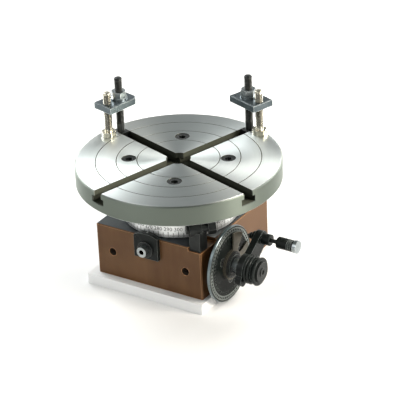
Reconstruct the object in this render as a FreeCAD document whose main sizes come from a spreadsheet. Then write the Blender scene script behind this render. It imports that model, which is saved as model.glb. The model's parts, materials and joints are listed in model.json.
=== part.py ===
import FreeCAD, Part
import Sketcher
import math
import os
import re

# Horizontal dividing head: a T-slotted table on a vertical spindle, turned through a 40:1 worm gear
# by an index crank that pins into a hole plate. Millimetres, +Z up, origin on the spindle axis at
# the base plane, front of the housing towards -Y, crank towards +X.

doc = FreeCAD.newDocument("dividing_head")

# ---------------------------------------------------------------- driving sizes
sheet = doc.addObject("Spreadsheet::Sheet", "sizes")

SIZES = {
    # housing
    "housing_width": 89.0, "housing_depth": 94.0, "housing_height": 40.5, "housing_front": 45.0,
    "housing_edge": 0.8, "shelf_width": 10.4, "shelf_length": 21.0, "shelf_drop": 3.0,
    "front_hole_spacing": 62.0, "front_hole_height": 20.0, "front_hole_radius": 3.1,
    "front_hole_depth": 12.0,
    "base_hole_spacing_across": 66.0, "base_hole_spacing_along": 62.0, "base_hole_radius": 2.6,
    "base_hole_depth": 11.0,
    # table
    "table_radius": 75.0, "table_thickness": 15.5, "table_edge": 1.0, "table_turn": 72.7,
    "slot_neck_width": 8.0, "slot_lip": 4.2, "slot_wide": 12.5, "slot_wide_height": 5.0,
    "ring_line_pitch": 15.0, "ring_line_first": 30.0, "ring_line_width": 0.8,
    "ring_line_depth": 0.4,
    "centre_bore_radius": 9.0, "table_screw_circle": 36.0, "screw_head_radius": 5.0,
    "screw_head_length": 6.0, "screw_radius": 3.0, "screw_length": 14.0, "screw_socket": 5.0,
    "screw_clearance": 0.5,
    # spindle, its bushes and the graduated ring
    "spindle_head_radius": 42.5, "spindle_head_height": 26.5, "ring_height": 9.0,
    "ring_wall": 4.5, "ring_lift": 0.1, "thrust_gap": 0.5,
    "spindle_radius": 15.0, "spindle_shoulder_radius": 13.0, "spindle_tail_radius": 10.0,
    "tail_bore_radius": 6.0, "spindle_tail_end": 3.2, "centre_bore_depth": 30.0,
    "running_clearance": 0.05,
    "top_bush_flange_radius": 30.0, "top_bush_flange": 2.5, "top_bush_wall": 3.5,
    "top_bush_length": 11.5,
    "low_bush_wall": 3.0, "low_bush_bottom": 8.0, "low_bush_floor": 14.0, "low_bush_flange": 1.8,
    "low_bush_flange_radius": 16.0,
    "nut_radius": 14.0, "nut_thickness": 3.4, "nut_washer": 1.2, "nut_notch": 2.5,
    "cover_radius": 23.0, "cover_thickness": 2.0, "cover_relief": 0.2, "nut_room_radius": 16.5,
    "cover_screw_circle": 19.2, "small_screw_radius": 1.5, "small_screw_length": 8.0,
    # worm gear
    "gear_module": 0.8, "wheel_teeth": 40.0, "worm_pitch_radius": 5.0, "worm_height": 20.5,
    "wheel_width": 9.0, "backlash": 0.5, "worm_thread_length": 18.0, "worm_root_radius": 4.0,
    "worm_bore_radius": 7.0, "worm_bore_end": 27.0, "worm_tail_radius": 3.5,
    "worm_shaft_radius": 5.0, "worm_collar_width": 2.0, "worm_tail_gap": 0.5,
    "thread_runout": 1.0, "thread_root_sink": 0.3,
    "key_width": 3.0, "key_length": 8.0, "key_play": 0.5,
    # dividing plate and its carrier on the right side
    "carrier_barrel_radius": 9.0, "carrier_depth": 28.5, "carrier_flange_radius": 15.5,
    "carrier_flange": 6.9, "spigot_radius": 8.0, "spigot_length": 4.1,
    "snap_groove_depth": 0.6, "snap_ring_play": 0.05, "snap_ring_opening": 4.0, "tap_runout": 0.3,
    "carrier_screw_circle": 12.0, "carrier_screw_length": 14.0, "plate_screw_length": 8.0,
    "plate_radius": 28.35, "plate_thickness": 2.5, "plate_edge": 0.5,
    "index_circle": 25.3, "index_holes": 60.0, "index_hole_radius": 0.8,
    "inner_circle": 21.5, "inner_holes": 48.0, "inner_hole_radius": 0.6,
    # sector arms
    "sector_thickness": 1.0, "sector_ring_radius": 11.0, "sector_reach": 24.0,
    "sector_gap": 0.1, "sector_spring": 0.6, "snap_ring_radius": 9.2, "snap_ring_thickness": 0.6,
    "sector_front_from": 52.0, "sector_front_to": 84.0,
    "sector_rear_from": -6.0, "sector_rear_to": 18.0,
    # crank
    "crank_turn": 35.0, "crank_gap": 10.6, "arm_thickness": 5.0, "arm_boss_radius": 10.5,
    "arm_end_radius": 5.6, "arm_tail_radius": 4.6, "arm_tail_reach": 9.6,
    "knob_length": 9.6, "knob_radius": 10.5, "disc_radius": 7.5, "disc_thickness": 1.3,
    "disc_sink_depth": 0.5, "arm_web_half_width": 7.6,
    "shaft_end_radius": 4.0, "spacer_radius": 5.8, "shaft_reach": 10.5, "end_gap": 0.2,
    "crank_screw_head": 3.4, "crank_screw_radius": 2.0, "crank_screw_length": 12.0,
    # index plunger
    "plunger_travel": 4.6, "plunger_engagement": 1.5, "pin_radius": 0.72, "pin_tip_length": 3.9,
    "plunger_shank_radius": 1.5, "plunger_collar_radius": 2.8, "plunger_collar_inset": 5.8,
    "sleeve_overhang": 1.5, "sleeve_length": 13.0, "sleeve_wall": 1.0,
    "sleeve_radius": 4.2, "sleeve_bore_radius": 3.0,
    "grip_gap": 5.6, "grip_radius": 4.4, "grip_length": 13.6, "grip_socket": 3.0,
    "cap_radius": 4.8, "cap_thickness": 2.6, "spring_wire": 0.7, "spring_play": 0.3,
    "spring_turns": 4.0,
    # zero-index plate on the front
    "index_plate_width": 20.0, "index_plate_thickness": 3.0, "index_plate_drop": 16.5,
    "index_plate_stand": 0.9, "index_plate_rise": 2.6, "index_plate_lip": 1.9,
    "index_washer_radius": 6.2, "index_washer": 1.2, "index_screw_drop": 8.7,
    "index_screw_head_radius": 3.8, "index_screw_head": 4.6, "index_screw_length": 12.0,
    "index_screw_radius": 2.2,
    # table lock on the front right corner
    "lock_turn_angle": -47.0, "lock_axis_gap": 12.0, "lock_axis_lift": 12.6,
    "lock_eye_radius": 5.2, "lock_boss_gap": 2.1, "lock_post_inset": 5.5,
    "lock_post_setback": 6.2, "lock_stem_gap": 1.0,
    "lock_stem_width": 8.6, "lock_stem_depth": 9.6, "lock_eye_length": 8.8,
    "lock_boss_wall": 1.6, "lock_spigot_radius": 3.0, "lock_spigot_length": 10.0,
    "lock_plug_radius": 2.4, "lock_plug_gap": 0.3, "lock_cam_throw": 0.3, "lock_cam_length": 5.4,
    "lock_cam_slack": 0.12, "lock_screw_radius": 3.0,
    "lock_screw_reach": 5.0, "lock_head_flats": 8.6, "lock_head": 5.4,
    # strap clamps
    "left_stud_inset": 9.2, "left_strap_turn": 76.5, "right_stud_inset": 6.0,
    "right_strap_turn": 160.5, "strap_height": 21.2, "strap_thickness": 5.0, "strap_width": 18.0,
    "strap_front": 16.6, "strap_back": 10.9, "strap_edge": 0.8, "jack_offset": 11.8,
    "stud_radius": 3.0, "stud_top": 43.0, "stud_slot_length": 4.0, "stud_clearance": 0.3,
    "nut_flats": 10.0, "hex_nut_height": 5.0, "washer_radius": 6.2, "washer_thickness": 1.2,
    "tee_nut_length": 10.0, "tee_clearance": 0.2, "jack_top": 35.0, "jack_head": 4.0,
    "jack_radius": 3.0, "jack_point": 1.2, "thread_point": 0.5,
}

for row, (alias, number) in enumerate(SIZES.items(), start=1):
    sheet.set("A%d" % row, alias.replace("_", " "))
    sheet.set("B%d" % row, str(number))
    sheet.setAlias("B%d" % row, alias)
doc.recompute()


def size(alias):
    """Current value of a driving size."""
    return float(sheet.get(alias))


# Derived places, written as expressions in the driving sizes.
DERIVED = {
    "spindle_bottom": "housing_height + thrust_gap",
    "table_bottom": "housing_height + thrust_gap + spindle_head_height",
    "table_top": "housing_height + thrust_gap + spindle_head_height + table_thickness",
    "centre_distance": "gear_module * wheel_teeth / 2 + worm_pitch_radius",
    "right_face": "housing_width / 2",
    "plate_back": "housing_width / 2 + carrier_flange",
    "plate_front": "housing_width / 2 + carrier_flange + plate_thickness",
    "index_head_seat": "housing_front + index_plate_thickness + index_washer",
    "carrier_start": "housing_width / 2 - carrier_depth",
    "index_plate_bottom": "housing_height - index_plate_drop",
    "index_plate_side_top": "housing_height + index_plate_stand",
    "index_screw_height": "housing_height - index_screw_drop",
    "lock_axis_reach": "spindle_head_radius + lock_axis_gap",
    "lock_post_inner": "spindle_head_radius + lock_boss_gap",
    "lock_height": "housing_height + thrust_gap + lock_axis_lift",
    "lock_post_x": "housing_width / 2 - lock_post_inset",
    "lock_post_y": "lock_post_setback - housing_front",
    "left_stud_reach": "table_radius - left_stud_inset",
    "right_stud_reach": "table_radius - right_stud_inset",
    "key_inset": "spindle_tail_radius - key_width / 2",
    "counterbore_radius": "screw_head_radius + screw_clearance",
    "chamber_radius": "spindle_radius + running_clearance + top_bush_wall",
    "snap_ring_start": "plate_front + 2 * sector_thickness + 4 * sector_gap + sector_spring",
    "spacer_start": "plate_front + spigot_length + end_gap",
    "plunger_rest_tip": "plate_front - plunger_engagement + plunger_travel",
    "crank_start": "plate_front + crank_gap",
    "shaft_end": "crank_start + shaft_reach",
    "sleeve_start": "crank_start - sleeve_overhang",
    "sleeve_end": "sleeve_start + sleeve_length",
    "plunger_collar_at": "sleeve_start + plunger_collar_inset",
    "grip_start": "sleeve_end + grip_gap",
}
for row, (alias, formula) in enumerate(DERIVED.items(), start=len(SIZES) + 3):
    sheet.set("A%d" % row, alias.replace("_", " "))
    sheet.set("B%d" % row, "=" + formula)
    sheet.setAlias("B%d" % row, alias)
doc.recompute()
ALIASES = set(SIZES) | set(DERIVED)


# ---------------------------------------------------------------- small builders
def bound(formula):
    """Turn a formula in plain size names into an expression on the sheet."""
    return re.sub(r"[a-z_]+", lambda m: "sizes." + m.group() if m.group() in ALIASES else m.group(),
                  str(formula))


def value(formula):
    """The number a formula gives now."""
    result = sheet.evalExpression(bound(formula))
    return float(getattr(result, "Value", result))


def bind(thing, **properties):
    """Bind properties of an object to formulas."""
    for name, formula in properties.items():
        thing.setExpression(name, bound(formula))
    return thing


def frame(x="0", y="0", z="0", turn="0", tip=""):
    """A placement expression: a place, a turn about Z, and a tip applied before the turn."""
    rotation = "rotation(vector(0; 0; 1); %s)" % bound(turn)
    if tip:
        rotation = "%s * rotation(vector(0; 0; 1); %s)" % (tip, bound(turn))
    return "placement(vector(%s; %s; %s); %s)" % (bound(x), bound(y), bound(z), rotation)


# A tip that lays an object's Z along +X, its X along +Y and its Y along +Z.
TIP_TO_X = "rotation(vector(1; 1; 1); 120)"
# Tips that lay an object's Z along -Y (its Y up), and along +Y.
TIP_TO_FRONT = "rotation(vector(1; 0; 0); 90)"
TIP_TO_BACK = "rotation(vector(1; 0; 0); -90)"
# A tip that turns an object's Z down.
TIP_OVER = "rotation(vector(1; 0; 0); 180)"
# A tip that lays an object's Z along +X and leaves its Y alone.
TIP_TO_RIGHT = "rotation(vector(0; 1; 0); 90)"


def at(thing, x="0", y="0", z="0", turn="0", tip=""):
    """Put an object at a place given by formulas."""
    thing.setExpression("Placement", frame(x, y, z, turn, tip))
    return thing


def cylinder(name, radius, height, *place, **turned):
    rod = doc.addObject("Part::Cylinder", name)
    bind(rod, Radius=radius, Height=height)
    return at(rod, *place, **turned)


def cone(name, radius_start, radius_end, height, *place, **turned):
    taper = doc.addObject("Part::Cone", name)
    bind(taper, Radius1=radius_start, Radius2=radius_end, Height=height)
    return at(taper, *place, **turned)


def block(name, length, width, height, *place, **turned):
    """A box from its low corner."""
    brick = doc.addObject("Part::Box", name)
    bind(brick, Length=length, Width=width, Height=height)
    return at(brick, *place, **turned)


def hexagon(name, flats, height, *place, **turned):
    prism = doc.addObject("Part::Prism", name)
    prism.Polygon = 6
    bind(prism, Circumradius="(%s) / sqrt(3)" % flats, Height=height)
    return at(prism, *place, **turned)


def fuse(name, *parts):
    union = doc.addObject("Part::MultiFuse", name)
    union.Shapes = list(parts)
    return union


def cut(name, base, *tools):
    """Base less one tool or several."""
    tool = tools[0] if len(tools) == 1 else fuse(name + "_tools", *tools)
    result = doc.addObject("Part::Cut", name)
    result.Base, result.Tool = base, tool
    return result


def group(name, things):
    """Like fasteners kept together as separate solids."""
    together = doc.addObject("Part::Compound", name)
    together.Links = things
    return together


def tube(name, outer, inner, height, *place, **turned):
    """A ring or sleeve; the bore passes right through."""
    return cut(name, cylinder(name + "_outer", outer, height, *place, **turned),
               cylinder(name + "_bore", inner, height, *place, **turned))


def around(count, radius, start="0"):
    """Places, as formula pairs, equally spaced on a circle."""
    for step in range(count):
        angle = "((%s + %g) * 1 deg)" % (start, 360.0 * step / count)
        yield "(%s) * cos(%s)" % (radius, angle), "(%s) * sin(%s)" % (radius, angle)


PIECES = {}


def piece(name, thing, *place, **turned):
    """Keep an object as one named sub-part, put where it belongs."""
    thing.Label = name
    PIECES[name] = thing
    if place or turned:
        at(thing, *place, **turned)
    return thing


def on_worm(name, thing, start="0", turn="0"):
    """Keep a piece drawn about its own Z, laid on the worm axis from a start along X."""
    return piece(name, thing, start, "-centre_distance", "worm_height", turn=turn, tip=TIP_TO_X)


# ---------------------------------------------------------------- sketched bodies
def new_body(name):
    return doc.addObject("PartDesign::Body", name)


def new_sketch(body, name, plane="XY_Plane", lift="0"):
    """A sketch on one of a body's origin planes, lifted along the plane's normal."""
    sketch = body.newObject("Sketcher::SketchObject", name)
    face = [f for f in body.Origin.OriginFeatures if f.Role == plane][0]
    sketch.AttachmentSupport = [(face, "")]
    sketch.MapMode = "FlatFace"
    sketch.setExpression("AttachmentOffset.Base.z", bound(lift))
    return sketch


def hold_point(sketch, geometry, end, x, y):
    """Tie a point of a sketch to formulas for its two coordinates."""
    for kind, formula in (("DistanceX", x), ("DistanceY", y)):
        index = sketch.addConstraint(
            Sketcher.Constraint(kind, -1, 1, geometry, end, value(formula)))
        sketch.setExpression("Constraints[%d]" % index, bound(formula))


def outline(sketch, corners):
    """A closed outline of straight edges; each corner is a pair of formulas."""
    points = [FreeCAD.Vector(value(x), value(y), 0) for x, y in corners]
    edges = [sketch.addGeometry(Part.LineSegment(point, points[(i + 1) % len(points)]), False)
             for i, point in enumerate(points)]
    for i, edge in enumerate(edges):
        sketch.addConstraint(
            Sketcher.Constraint("Coincident", edge, 2, edges[(i + 1) % len(edges)], 1))
        hold_point(sketch, edge, 1, *corners[i])


def rectangle(sketch, x_low, x_high, y_low, y_high):
    outline(sketch, [(x_low, y_low), (x_high, y_low), (x_high, y_high), (x_low, y_high)])


def circle(sketch, radius, x="0", y="0"):
    centre = FreeCAD.Vector(value(x), value(y), 0)
    ring = sketch.addGeometry(
        Part.Circle(centre, FreeCAD.Vector(0, 0, 1), value(radius)), False)
    hold_point(sketch, ring, 3, x, y)
    index = sketch.addConstraint(Sketcher.Constraint("Radius", ring, value(radius)))
    sketch.setExpression("Constraints[%d]" % index, bound(radius))


def pad(body, sketch, length, reverse=False):
    feature = body.newObject("PartDesign::Pad", sketch.Name + "_pad")
    feature.Profile = sketch
    feature.Reversed = reverse
    bind(feature, Length=length)
    doc.recompute()
    return feature


def pocket(body, sketch, depth, reverse=False):
    """Cut a sketch into its body, and make sure that it took metal away."""
    before = body.Shape.Volume
    feature = body.newObject("PartDesign::Pocket", sketch.Name + "_cut")
    feature.Profile = sketch
    feature.Reversed = reverse
    bind(feature, Length=depth)
    doc.recompute()
    if body.Shape.Volume > before - 0.01:
        raise ValueError("%s cuts nothing" % feature.Name)
    return feature


def drill(body, name, plane, lift, depth, radius, places, reverse=False):
    """Round holes, at places given on one plane of a body."""
    sketch = new_sketch(body, name, plane, lift)
    for x, y in places:
        circle(sketch, radius, x, y)
    return pocket(body, sketch, depth, reverse)


def revolve(body, sketch):
    feature = body.newObject("PartDesign::Revolution", sketch.Name + "_turned")
    feature.Profile = sketch
    feature.ReferenceAxis = (sketch, ["V_Axis"])
    feature.Angle = 360
    doc.recompute()
    return feature


def chamfer(body, feature, width, wanted):
    """Break the edges of a feature that a test picks."""
    names = ["Edge%d" % i for i, edge in enumerate(feature.Shape.Edges, start=1) if wanted(edge)]
    broken = body.newObject("PartDesign::Chamfer", feature.Name + "_edges")
    broken.Base = (feature, names)
    bind(broken, Size=width)
    doc.recompute()
    return broken


def level(edge, height):
    """True for an edge that lies flat at one height."""
    box = edge.BoundBox
    return abs(box.ZMin - height) < 1e-4 and abs(box.ZMax - height) < 1e-4


# ---------------------------------------------------------------- fasteners
def socket_screw(name, head_radius, head, radius, length, socket):
    """A cap screw along Z: head above zero, shank below, hexagon socket in the head."""
    whole = fuse(name + "_blank", cylinder(name + "_head", head_radius, head),
                 cylinder(name + "_shank", radius, length, "0", "0", "-(%s)" % length))
    return cut(name, whole, hexagon(name + "_socket", socket, head, "0", "0", "0.4 * (%s)" % head))


def flat_screw(name, radius, length):
    """A countersunk screw along Z, its face at zero, with a hexagon socket."""
    whole = fuse(name + "_blank",
                 cone(name + "_head", radius, "2 * (%s)" % radius, radius, "0", "0",
                      "-(%s)" % radius),
                 cylinder(name + "_shank", radius, length, "0", "0", "-(%s)" % length))
    return cut(name, whole,
               hexagon(name + "_socket", "1.4 * (%s)" % radius, radius, "0", "0",
                       "-0.6 * (%s)" % radius))


def flat_screw_seat(name, radius, depth, *place, **turned):
    """The countersunk hole that a flat screw sits in."""
    clear = "%s + running_clearance" % radius
    seat = fuse(name, cone(name + "_sink", clear, "2 * (%s)" % clear, clear, "0", "0",
                           "-(%s)" % clear),
                cylinder(name + "_drill", clear, depth, "0", "0", "-(%s)" % depth))
    return at(seat, *place, **turned)


# ---------------------------------------------------------------- housing
def make_housing():
    """The cast block: stepped spindle bore, worm bore across it, shelf for the table lock."""
    body = new_body("housing_body")
    base = new_sketch(body, "housing_base")
    rectangle(base, "-housing_width / 2", "housing_width / 2",
              "-housing_front", "housing_depth - housing_front")
    solid = pad(body, base, "housing_height")
    top = value("housing_height")
    chamfer(body, solid, "housing_edge",
            lambda e: level(e, top) or abs(e.BoundBox.ZMax - e.BoundBox.ZMin - top) < 1e-4)

    shelf = new_sketch(body, "lock_shelf", "XY_Plane", "housing_height")
    rectangle(shelf, "right_face - shelf_width", "right_face + 1",
              "-housing_front - 1", "-housing_front + shelf_length")
    pocket(body, shelf, "shelf_drop")

    centre = [("0", "0")]
    drill(body, "flange_seat", "XY_Plane", "housing_height", "top_bush_flange - thrust_gap",
          "top_bush_flange_radius", centre)
    drill(body, "gear_chamber", "XY_Plane", "housing_height", "housing_height - low_bush_floor",
          "chamber_radius", centre)
    drill(body, "low_bush_seat", "XY_Plane", "housing_height", "housing_height",
          "spindle_tail_radius + running_clearance + low_bush_wall", centre)
    drill(body, "nut_room", "XY_Plane", "0", "low_bush_bottom", "nut_room_radius", centre,
          reverse=True)
    drill(body, "cover_seat", "XY_Plane", "0", "cover_thickness + cover_relief",
          "cover_radius + running_clearance", centre, reverse=True)
    drill(body, "cover_taps", "XY_Plane", "0", "cover_thickness + small_screw_length",
          "small_screw_radius + running_clearance",
          list(around(3, "cover_screw_circle", "90")), reverse=True)
    corners = [("%s * base_hole_spacing_across / 2" % i, "%s * base_hole_spacing_along / 2" % j)
               for i in ("-1", "1") for j in ("-1", "1")]
    drill(body, "base_holes", "XY_Plane", "0", "base_hole_depth", "base_hole_radius", corners,
          reverse=True)

    worm_centre = [("-centre_distance", "worm_height")]
    drill(body, "worm_bore", "YZ_Plane", "right_face", "right_face + worm_bore_end",
          "worm_bore_radius", worm_centre)
    drill(body, "carrier_bore", "YZ_Plane", "right_face", "right_face - carrier_start",
          "carrier_barrel_radius", worm_centre)
    taps = [("-centre_distance + " + y, "worm_height + " + z)
            for y, z in around(3, "carrier_screw_circle", "90")]
    drill(body, "carrier_taps", "YZ_Plane", "right_face", "carrier_screw_length - carrier_flange",
          "small_screw_radius + running_clearance", taps)

    drill(body, "front_holes", "XZ_Plane", "housing_front", "front_hole_depth",
          "front_hole_radius", [("%s * front_hole_spacing / 2" % i, "front_hole_height")
                                for i in ("-1", "1")])
    drill(body, "index_tap", "XZ_Plane", "housing_front",
          "index_screw_length - index_plate_thickness - index_washer + 1",
          "index_screw_radius + running_clearance", [("0", "index_screw_height")])
    drill(body, "lock_tap", "XY_Plane", "housing_height - shelf_drop", "lock_spigot_length + 1",
          "lock_spigot_radius + running_clearance", [("lock_post_x", "lock_post_y")])
    piece("housing", body)


def make_index_plate():
    """Zero-index plate: screwed on the front, its arched lip reaches over to the scale."""
    body = new_body("index_plate_body")
    half, top = "index_plate_width / 2", "index_plate_side_top"
    face = new_sketch(body, "index_plate_face", "XZ_Plane", "housing_front")
    low_left, low_right = (FreeCAD.Vector(side * value(half), value("index_plate_bottom"), 0)
                           for side in (-1, 1))
    left, right = (FreeCAD.Vector(side * value(half), value(top), 0) for side in (-1, 1))
    crown = FreeCAD.Vector(0, value(top + " + index_plate_rise"), 0)
    face.addGeometry(Part.LineSegment(left, low_left), False)
    face.addGeometry(Part.LineSegment(low_left, low_right), False)
    face.addGeometry(Part.LineSegment(low_right, right), False)
    face.addGeometry(Part.Arc(right, crown, left), False)
    for first, end, second, start in ((0, 2, 1, 1), (1, 2, 2, 1), (2, 2, 3, 1), (3, 2, 0, 1)):
        face.addConstraint(Sketcher.Constraint("Coincident", first, end, second, start))
    hold_point(face, 0, 1, "-index_plate_width / 2", top)
    hold_point(face, 1, 1, "-index_plate_width / 2", "index_plate_bottom")
    hold_point(face, 2, 1, half, "index_plate_bottom")
    hold_point(face, 3, 1, half, top)
    arch = "(index_plate_width ^ 2 / 4 + index_plate_rise ^ 2) / (2 * index_plate_rise)"
    radius = face.addConstraint(Sketcher.Constraint("Radius", 3, value(arch)))
    face.setExpression("Constraints[%d]" % radius, bound(arch))
    pad(body, face, "index_plate_thickness")

    lip = new_sketch(body, "index_plate_lip_face", "XZ_Plane", "housing_front")
    outline(lip, [("-index_plate_width / 2", "housing_height"), (half, "housing_height"),
                  (half, top), ("index_plate_width / 4", top + " + 0.7 * index_plate_rise"),
                  ("0", top + " + index_plate_rise"),
                  ("-index_plate_width / 4", top + " + 0.7 * index_plate_rise"),
                  ("-index_plate_width / 2", top)])
    pad(body, lip, "index_plate_lip", reverse=True)
    drill(body, "index_plate_hole", "XZ_Plane", "housing_front + index_plate_thickness",
          "index_plate_thickness", "index_screw_radius + 2 * running_clearance",
          [("0", "index_screw_height")])
    piece("index_plate", body)

    washer = tube("index_washer_ring", "index_washer_radius",
                  "index_screw_radius + 2 * running_clearance", "index_washer")
    piece("index_plate_washer", washer, "0", "-housing_front - index_plate_thickness",
          "index_screw_height", tip=TIP_TO_FRONT)
    screw = socket_screw("index_cap_screw", "index_screw_head_radius", "index_screw_head",
                         "index_screw_radius", "index_screw_length", "index_screw_radius * 1.7")
    piece("index_plate_screw", screw, "0", "-index_head_seat", "index_screw_height",
          tip=TIP_TO_FRONT)


def make_bushes_and_cover():
    """Bronze bushes that carry the spindle, and the cover under it."""
    shaft = "spindle_radius + running_clearance"
    barrel = cylinder("top_bush_barrel", "chamber_radius", "top_bush_length", "0", "0",
                      "spindle_bottom - top_bush_length")
    flange = cylinder("top_bush_rim", "top_bush_flange_radius", "top_bush_flange", "0", "0",
                      "spindle_bottom - top_bush_flange")
    bore = cylinder("top_bush_bore", shaft, "top_bush_length", "0", "0",
                    "spindle_bottom - top_bush_length")
    piece("top_bush", cut("top_bush_turned", fuse("top_bush_blank", barrel, flange), bore))

    tail = "spindle_tail_radius + running_clearance"
    barrel = cylinder("low_bush_barrel", tail + " + low_bush_wall",
                      "low_bush_floor - low_bush_bottom", "0", "0", "low_bush_bottom")
    flange = cylinder("low_bush_rim", "low_bush_flange_radius", "low_bush_flange", "0", "0",
                      "low_bush_floor")
    bore = cylinder("low_bush_bore", tail, "low_bush_floor - low_bush_bottom + low_bush_flange",
                    "0", "0", "low_bush_bottom")
    piece("low_bush", cut("low_bush_turned", fuse("low_bush_blank", barrel, flange), bore))

    disc = cylinder("cover_disc", "cover_radius", "cover_thickness", "0", "0", "cover_relief")
    hole = cylinder("cover_hole", "tail_bore_radius", "cover_thickness", "0", "0",
                    "cover_relief")
    places = list(around(3, "cover_screw_circle", "90"))
    seats = [flat_screw_seat("cover_seat_%d" % i, "small_screw_radius", "cover_thickness + 1",
                             x, y, "cover_relief", tip=TIP_OVER)
             for i, (x, y) in enumerate(places)]
    piece("base_cover", cut("base_cover_plate", disc, hole, *seats))
    screws = [at(flat_screw("cover_screw_%d" % i, "small_screw_radius", "small_screw_length"),
                 x, y, "cover_relief", tip=TIP_OVER)
              for i, (x, y) in enumerate(places)]
    piece("base_cover_screws", group("cover_screw_set", screws))


# ---------------------------------------------------------------- table and spindle
def make_table():
    """The round table: turned blank with three guide rings, then two crossing T-slots."""
    body = new_body("table_body")
    low, top, edge = "table_bottom", "table_top", "table_edge"
    profile = [("centre_bore_radius", low), ("table_radius - " + edge, low),
               ("table_radius", low + " + " + edge), ("table_radius", top + " - " + edge),
               ("table_radius - " + edge, top)]
    for ring in (2, 1, 0):
        outer = "ring_line_first + %d * ring_line_pitch + ring_line_width / 2" % ring
        floor = top + " - ring_line_depth"
        profile += [(outer, top), (outer, floor), (outer + " - ring_line_width", floor),
                    (outer + " - ring_line_width", top)]
    profile.append(("centre_bore_radius", top))
    turned = new_sketch(body, "table_profile", "XZ_Plane")
    outline(turned, profile)
    revolve(body, turned)

    reach = "(table_radius + 1)"
    for name, along_x in (("slot_one", True), ("slot_two", False)):
        for part, half, lift, depth in (
                ("neck", "slot_neck_width / 2", top, "slot_lip"),
                ("wide", "slot_wide / 2", top + " - slot_lip", "slot_wide_height")):
            sketch = new_sketch(body, "%s_%s" % (name, part), "XY_Plane", lift)
            if along_x:
                rectangle(sketch, "-" + reach, reach, "-" + half, half)
            else:
                rectangle(sketch, "-" + half, half, "-" + reach, reach)
            pocket(body, sketch, depth)
    places = list(around(4, "table_screw_circle", "45"))
    drill(body, "counterbores", "XY_Plane", top, "screw_head_length + screw_clearance",
          "counterbore_radius", places)
    drill(body, "screw_holes", "XY_Plane", top, "table_thickness",
          "screw_radius + 2 * running_clearance", places)
    piece("table", body, turn="table_turn")

    screws = [at(socket_screw("table_screw_%d" % i, "screw_head_radius", "screw_head_length",
                              "screw_radius", "screw_length", "screw_socket"),
                 x, y, "table_top - screw_head_length - screw_clearance")
              for i, (x, y) in enumerate(places)]
    piece("table_screws", group("table_screw_set", screws), turn="table_turn")


def make_spindle():
    """Hollow stepped spindle with its big head, and the graduated ring pressed on the head."""
    body = new_body("spindle_body")
    seat = "spindle_head_radius - ring_wall"
    ring_top = "spindle_bottom + ring_lift + ring_height"
    wheel_top = "worm_height + wheel_width / 2"
    journal_end = "spindle_bottom - top_bush_length"
    profile = [("centre_bore_radius", "table_bottom"), ("spindle_head_radius", "table_bottom"),
               ("spindle_head_radius", ring_top), (seat, ring_top), (seat, "spindle_bottom"),
               ("spindle_radius", "spindle_bottom"), ("spindle_radius", journal_end),
               ("spindle_shoulder_radius", journal_end), ("spindle_shoulder_radius", wheel_top),
               ("spindle_tail_radius", wheel_top), ("spindle_tail_radius", "spindle_tail_end"),
               ("tail_bore_radius", "spindle_tail_end"),
               ("tail_bore_radius", "table_bottom - centre_bore_depth"),
               ("centre_bore_radius", "table_bottom - centre_bore_depth")]
    turned = new_sketch(body, "spindle_profile", "XZ_Plane")
    outline(turned, profile)
    revolve(body, turned)
    drill(body, "spindle_taps", "XY_Plane", "table_bottom",
          "screw_length + screw_head_length + 2 * screw_clearance - table_thickness",
          "screw_radius + running_clearance", list(around(4, "table_screw_circle", "45")))
    slot = new_sketch(body, "key_slot", "XY_Plane", wheel_top)
    rectangle(slot, "key_inset", "spindle_tail_radius + 1", "-key_width / 2", "key_width / 2")
    pocket(body, slot, "key_length + key_play")
    piece("spindle", body, turn="table_turn")

    piece("scale_ring", tube("scale_ring_turned", "spindle_head_radius", seat, "ring_height",
                             "0", "0", "spindle_bottom + ring_lift"), turn="table_turn")
    key = block("key_bar", "key_width", "key_width", "key_length", "key_inset", "-key_width / 2",
                wheel_top + " - key_length - key_play")
    piece("wheel_key", group("key_placed", [key]), turn="table_turn")

    clear = "spindle_tail_radius + running_clearance"
    piece("thrust_washer", tube("thrust_washer_ring", "low_bush_flange_radius - 1", clear,
                                "nut_washer", "0", "0", "low_bush_bottom - nut_washer"))
    nut = tube("ring_nut_ring", "nut_radius", clear, "nut_thickness")
    notches = [block("nut_notch_%d" % i, "2 * nut_notch", "nut_notch", "nut_thickness",
                     "nut_radius * cos(%d deg) - nut_notch" % (90 * i),
                     "nut_radius * sin(%d deg) - nut_notch / 2" % (90 * i), "0")
               for i in range(4)]
    piece("ring_nut", cut("ring_nut_notched", nut, *notches), "0", "0",
          "low_bush_bottom - nut_washer - nut_thickness")


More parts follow.
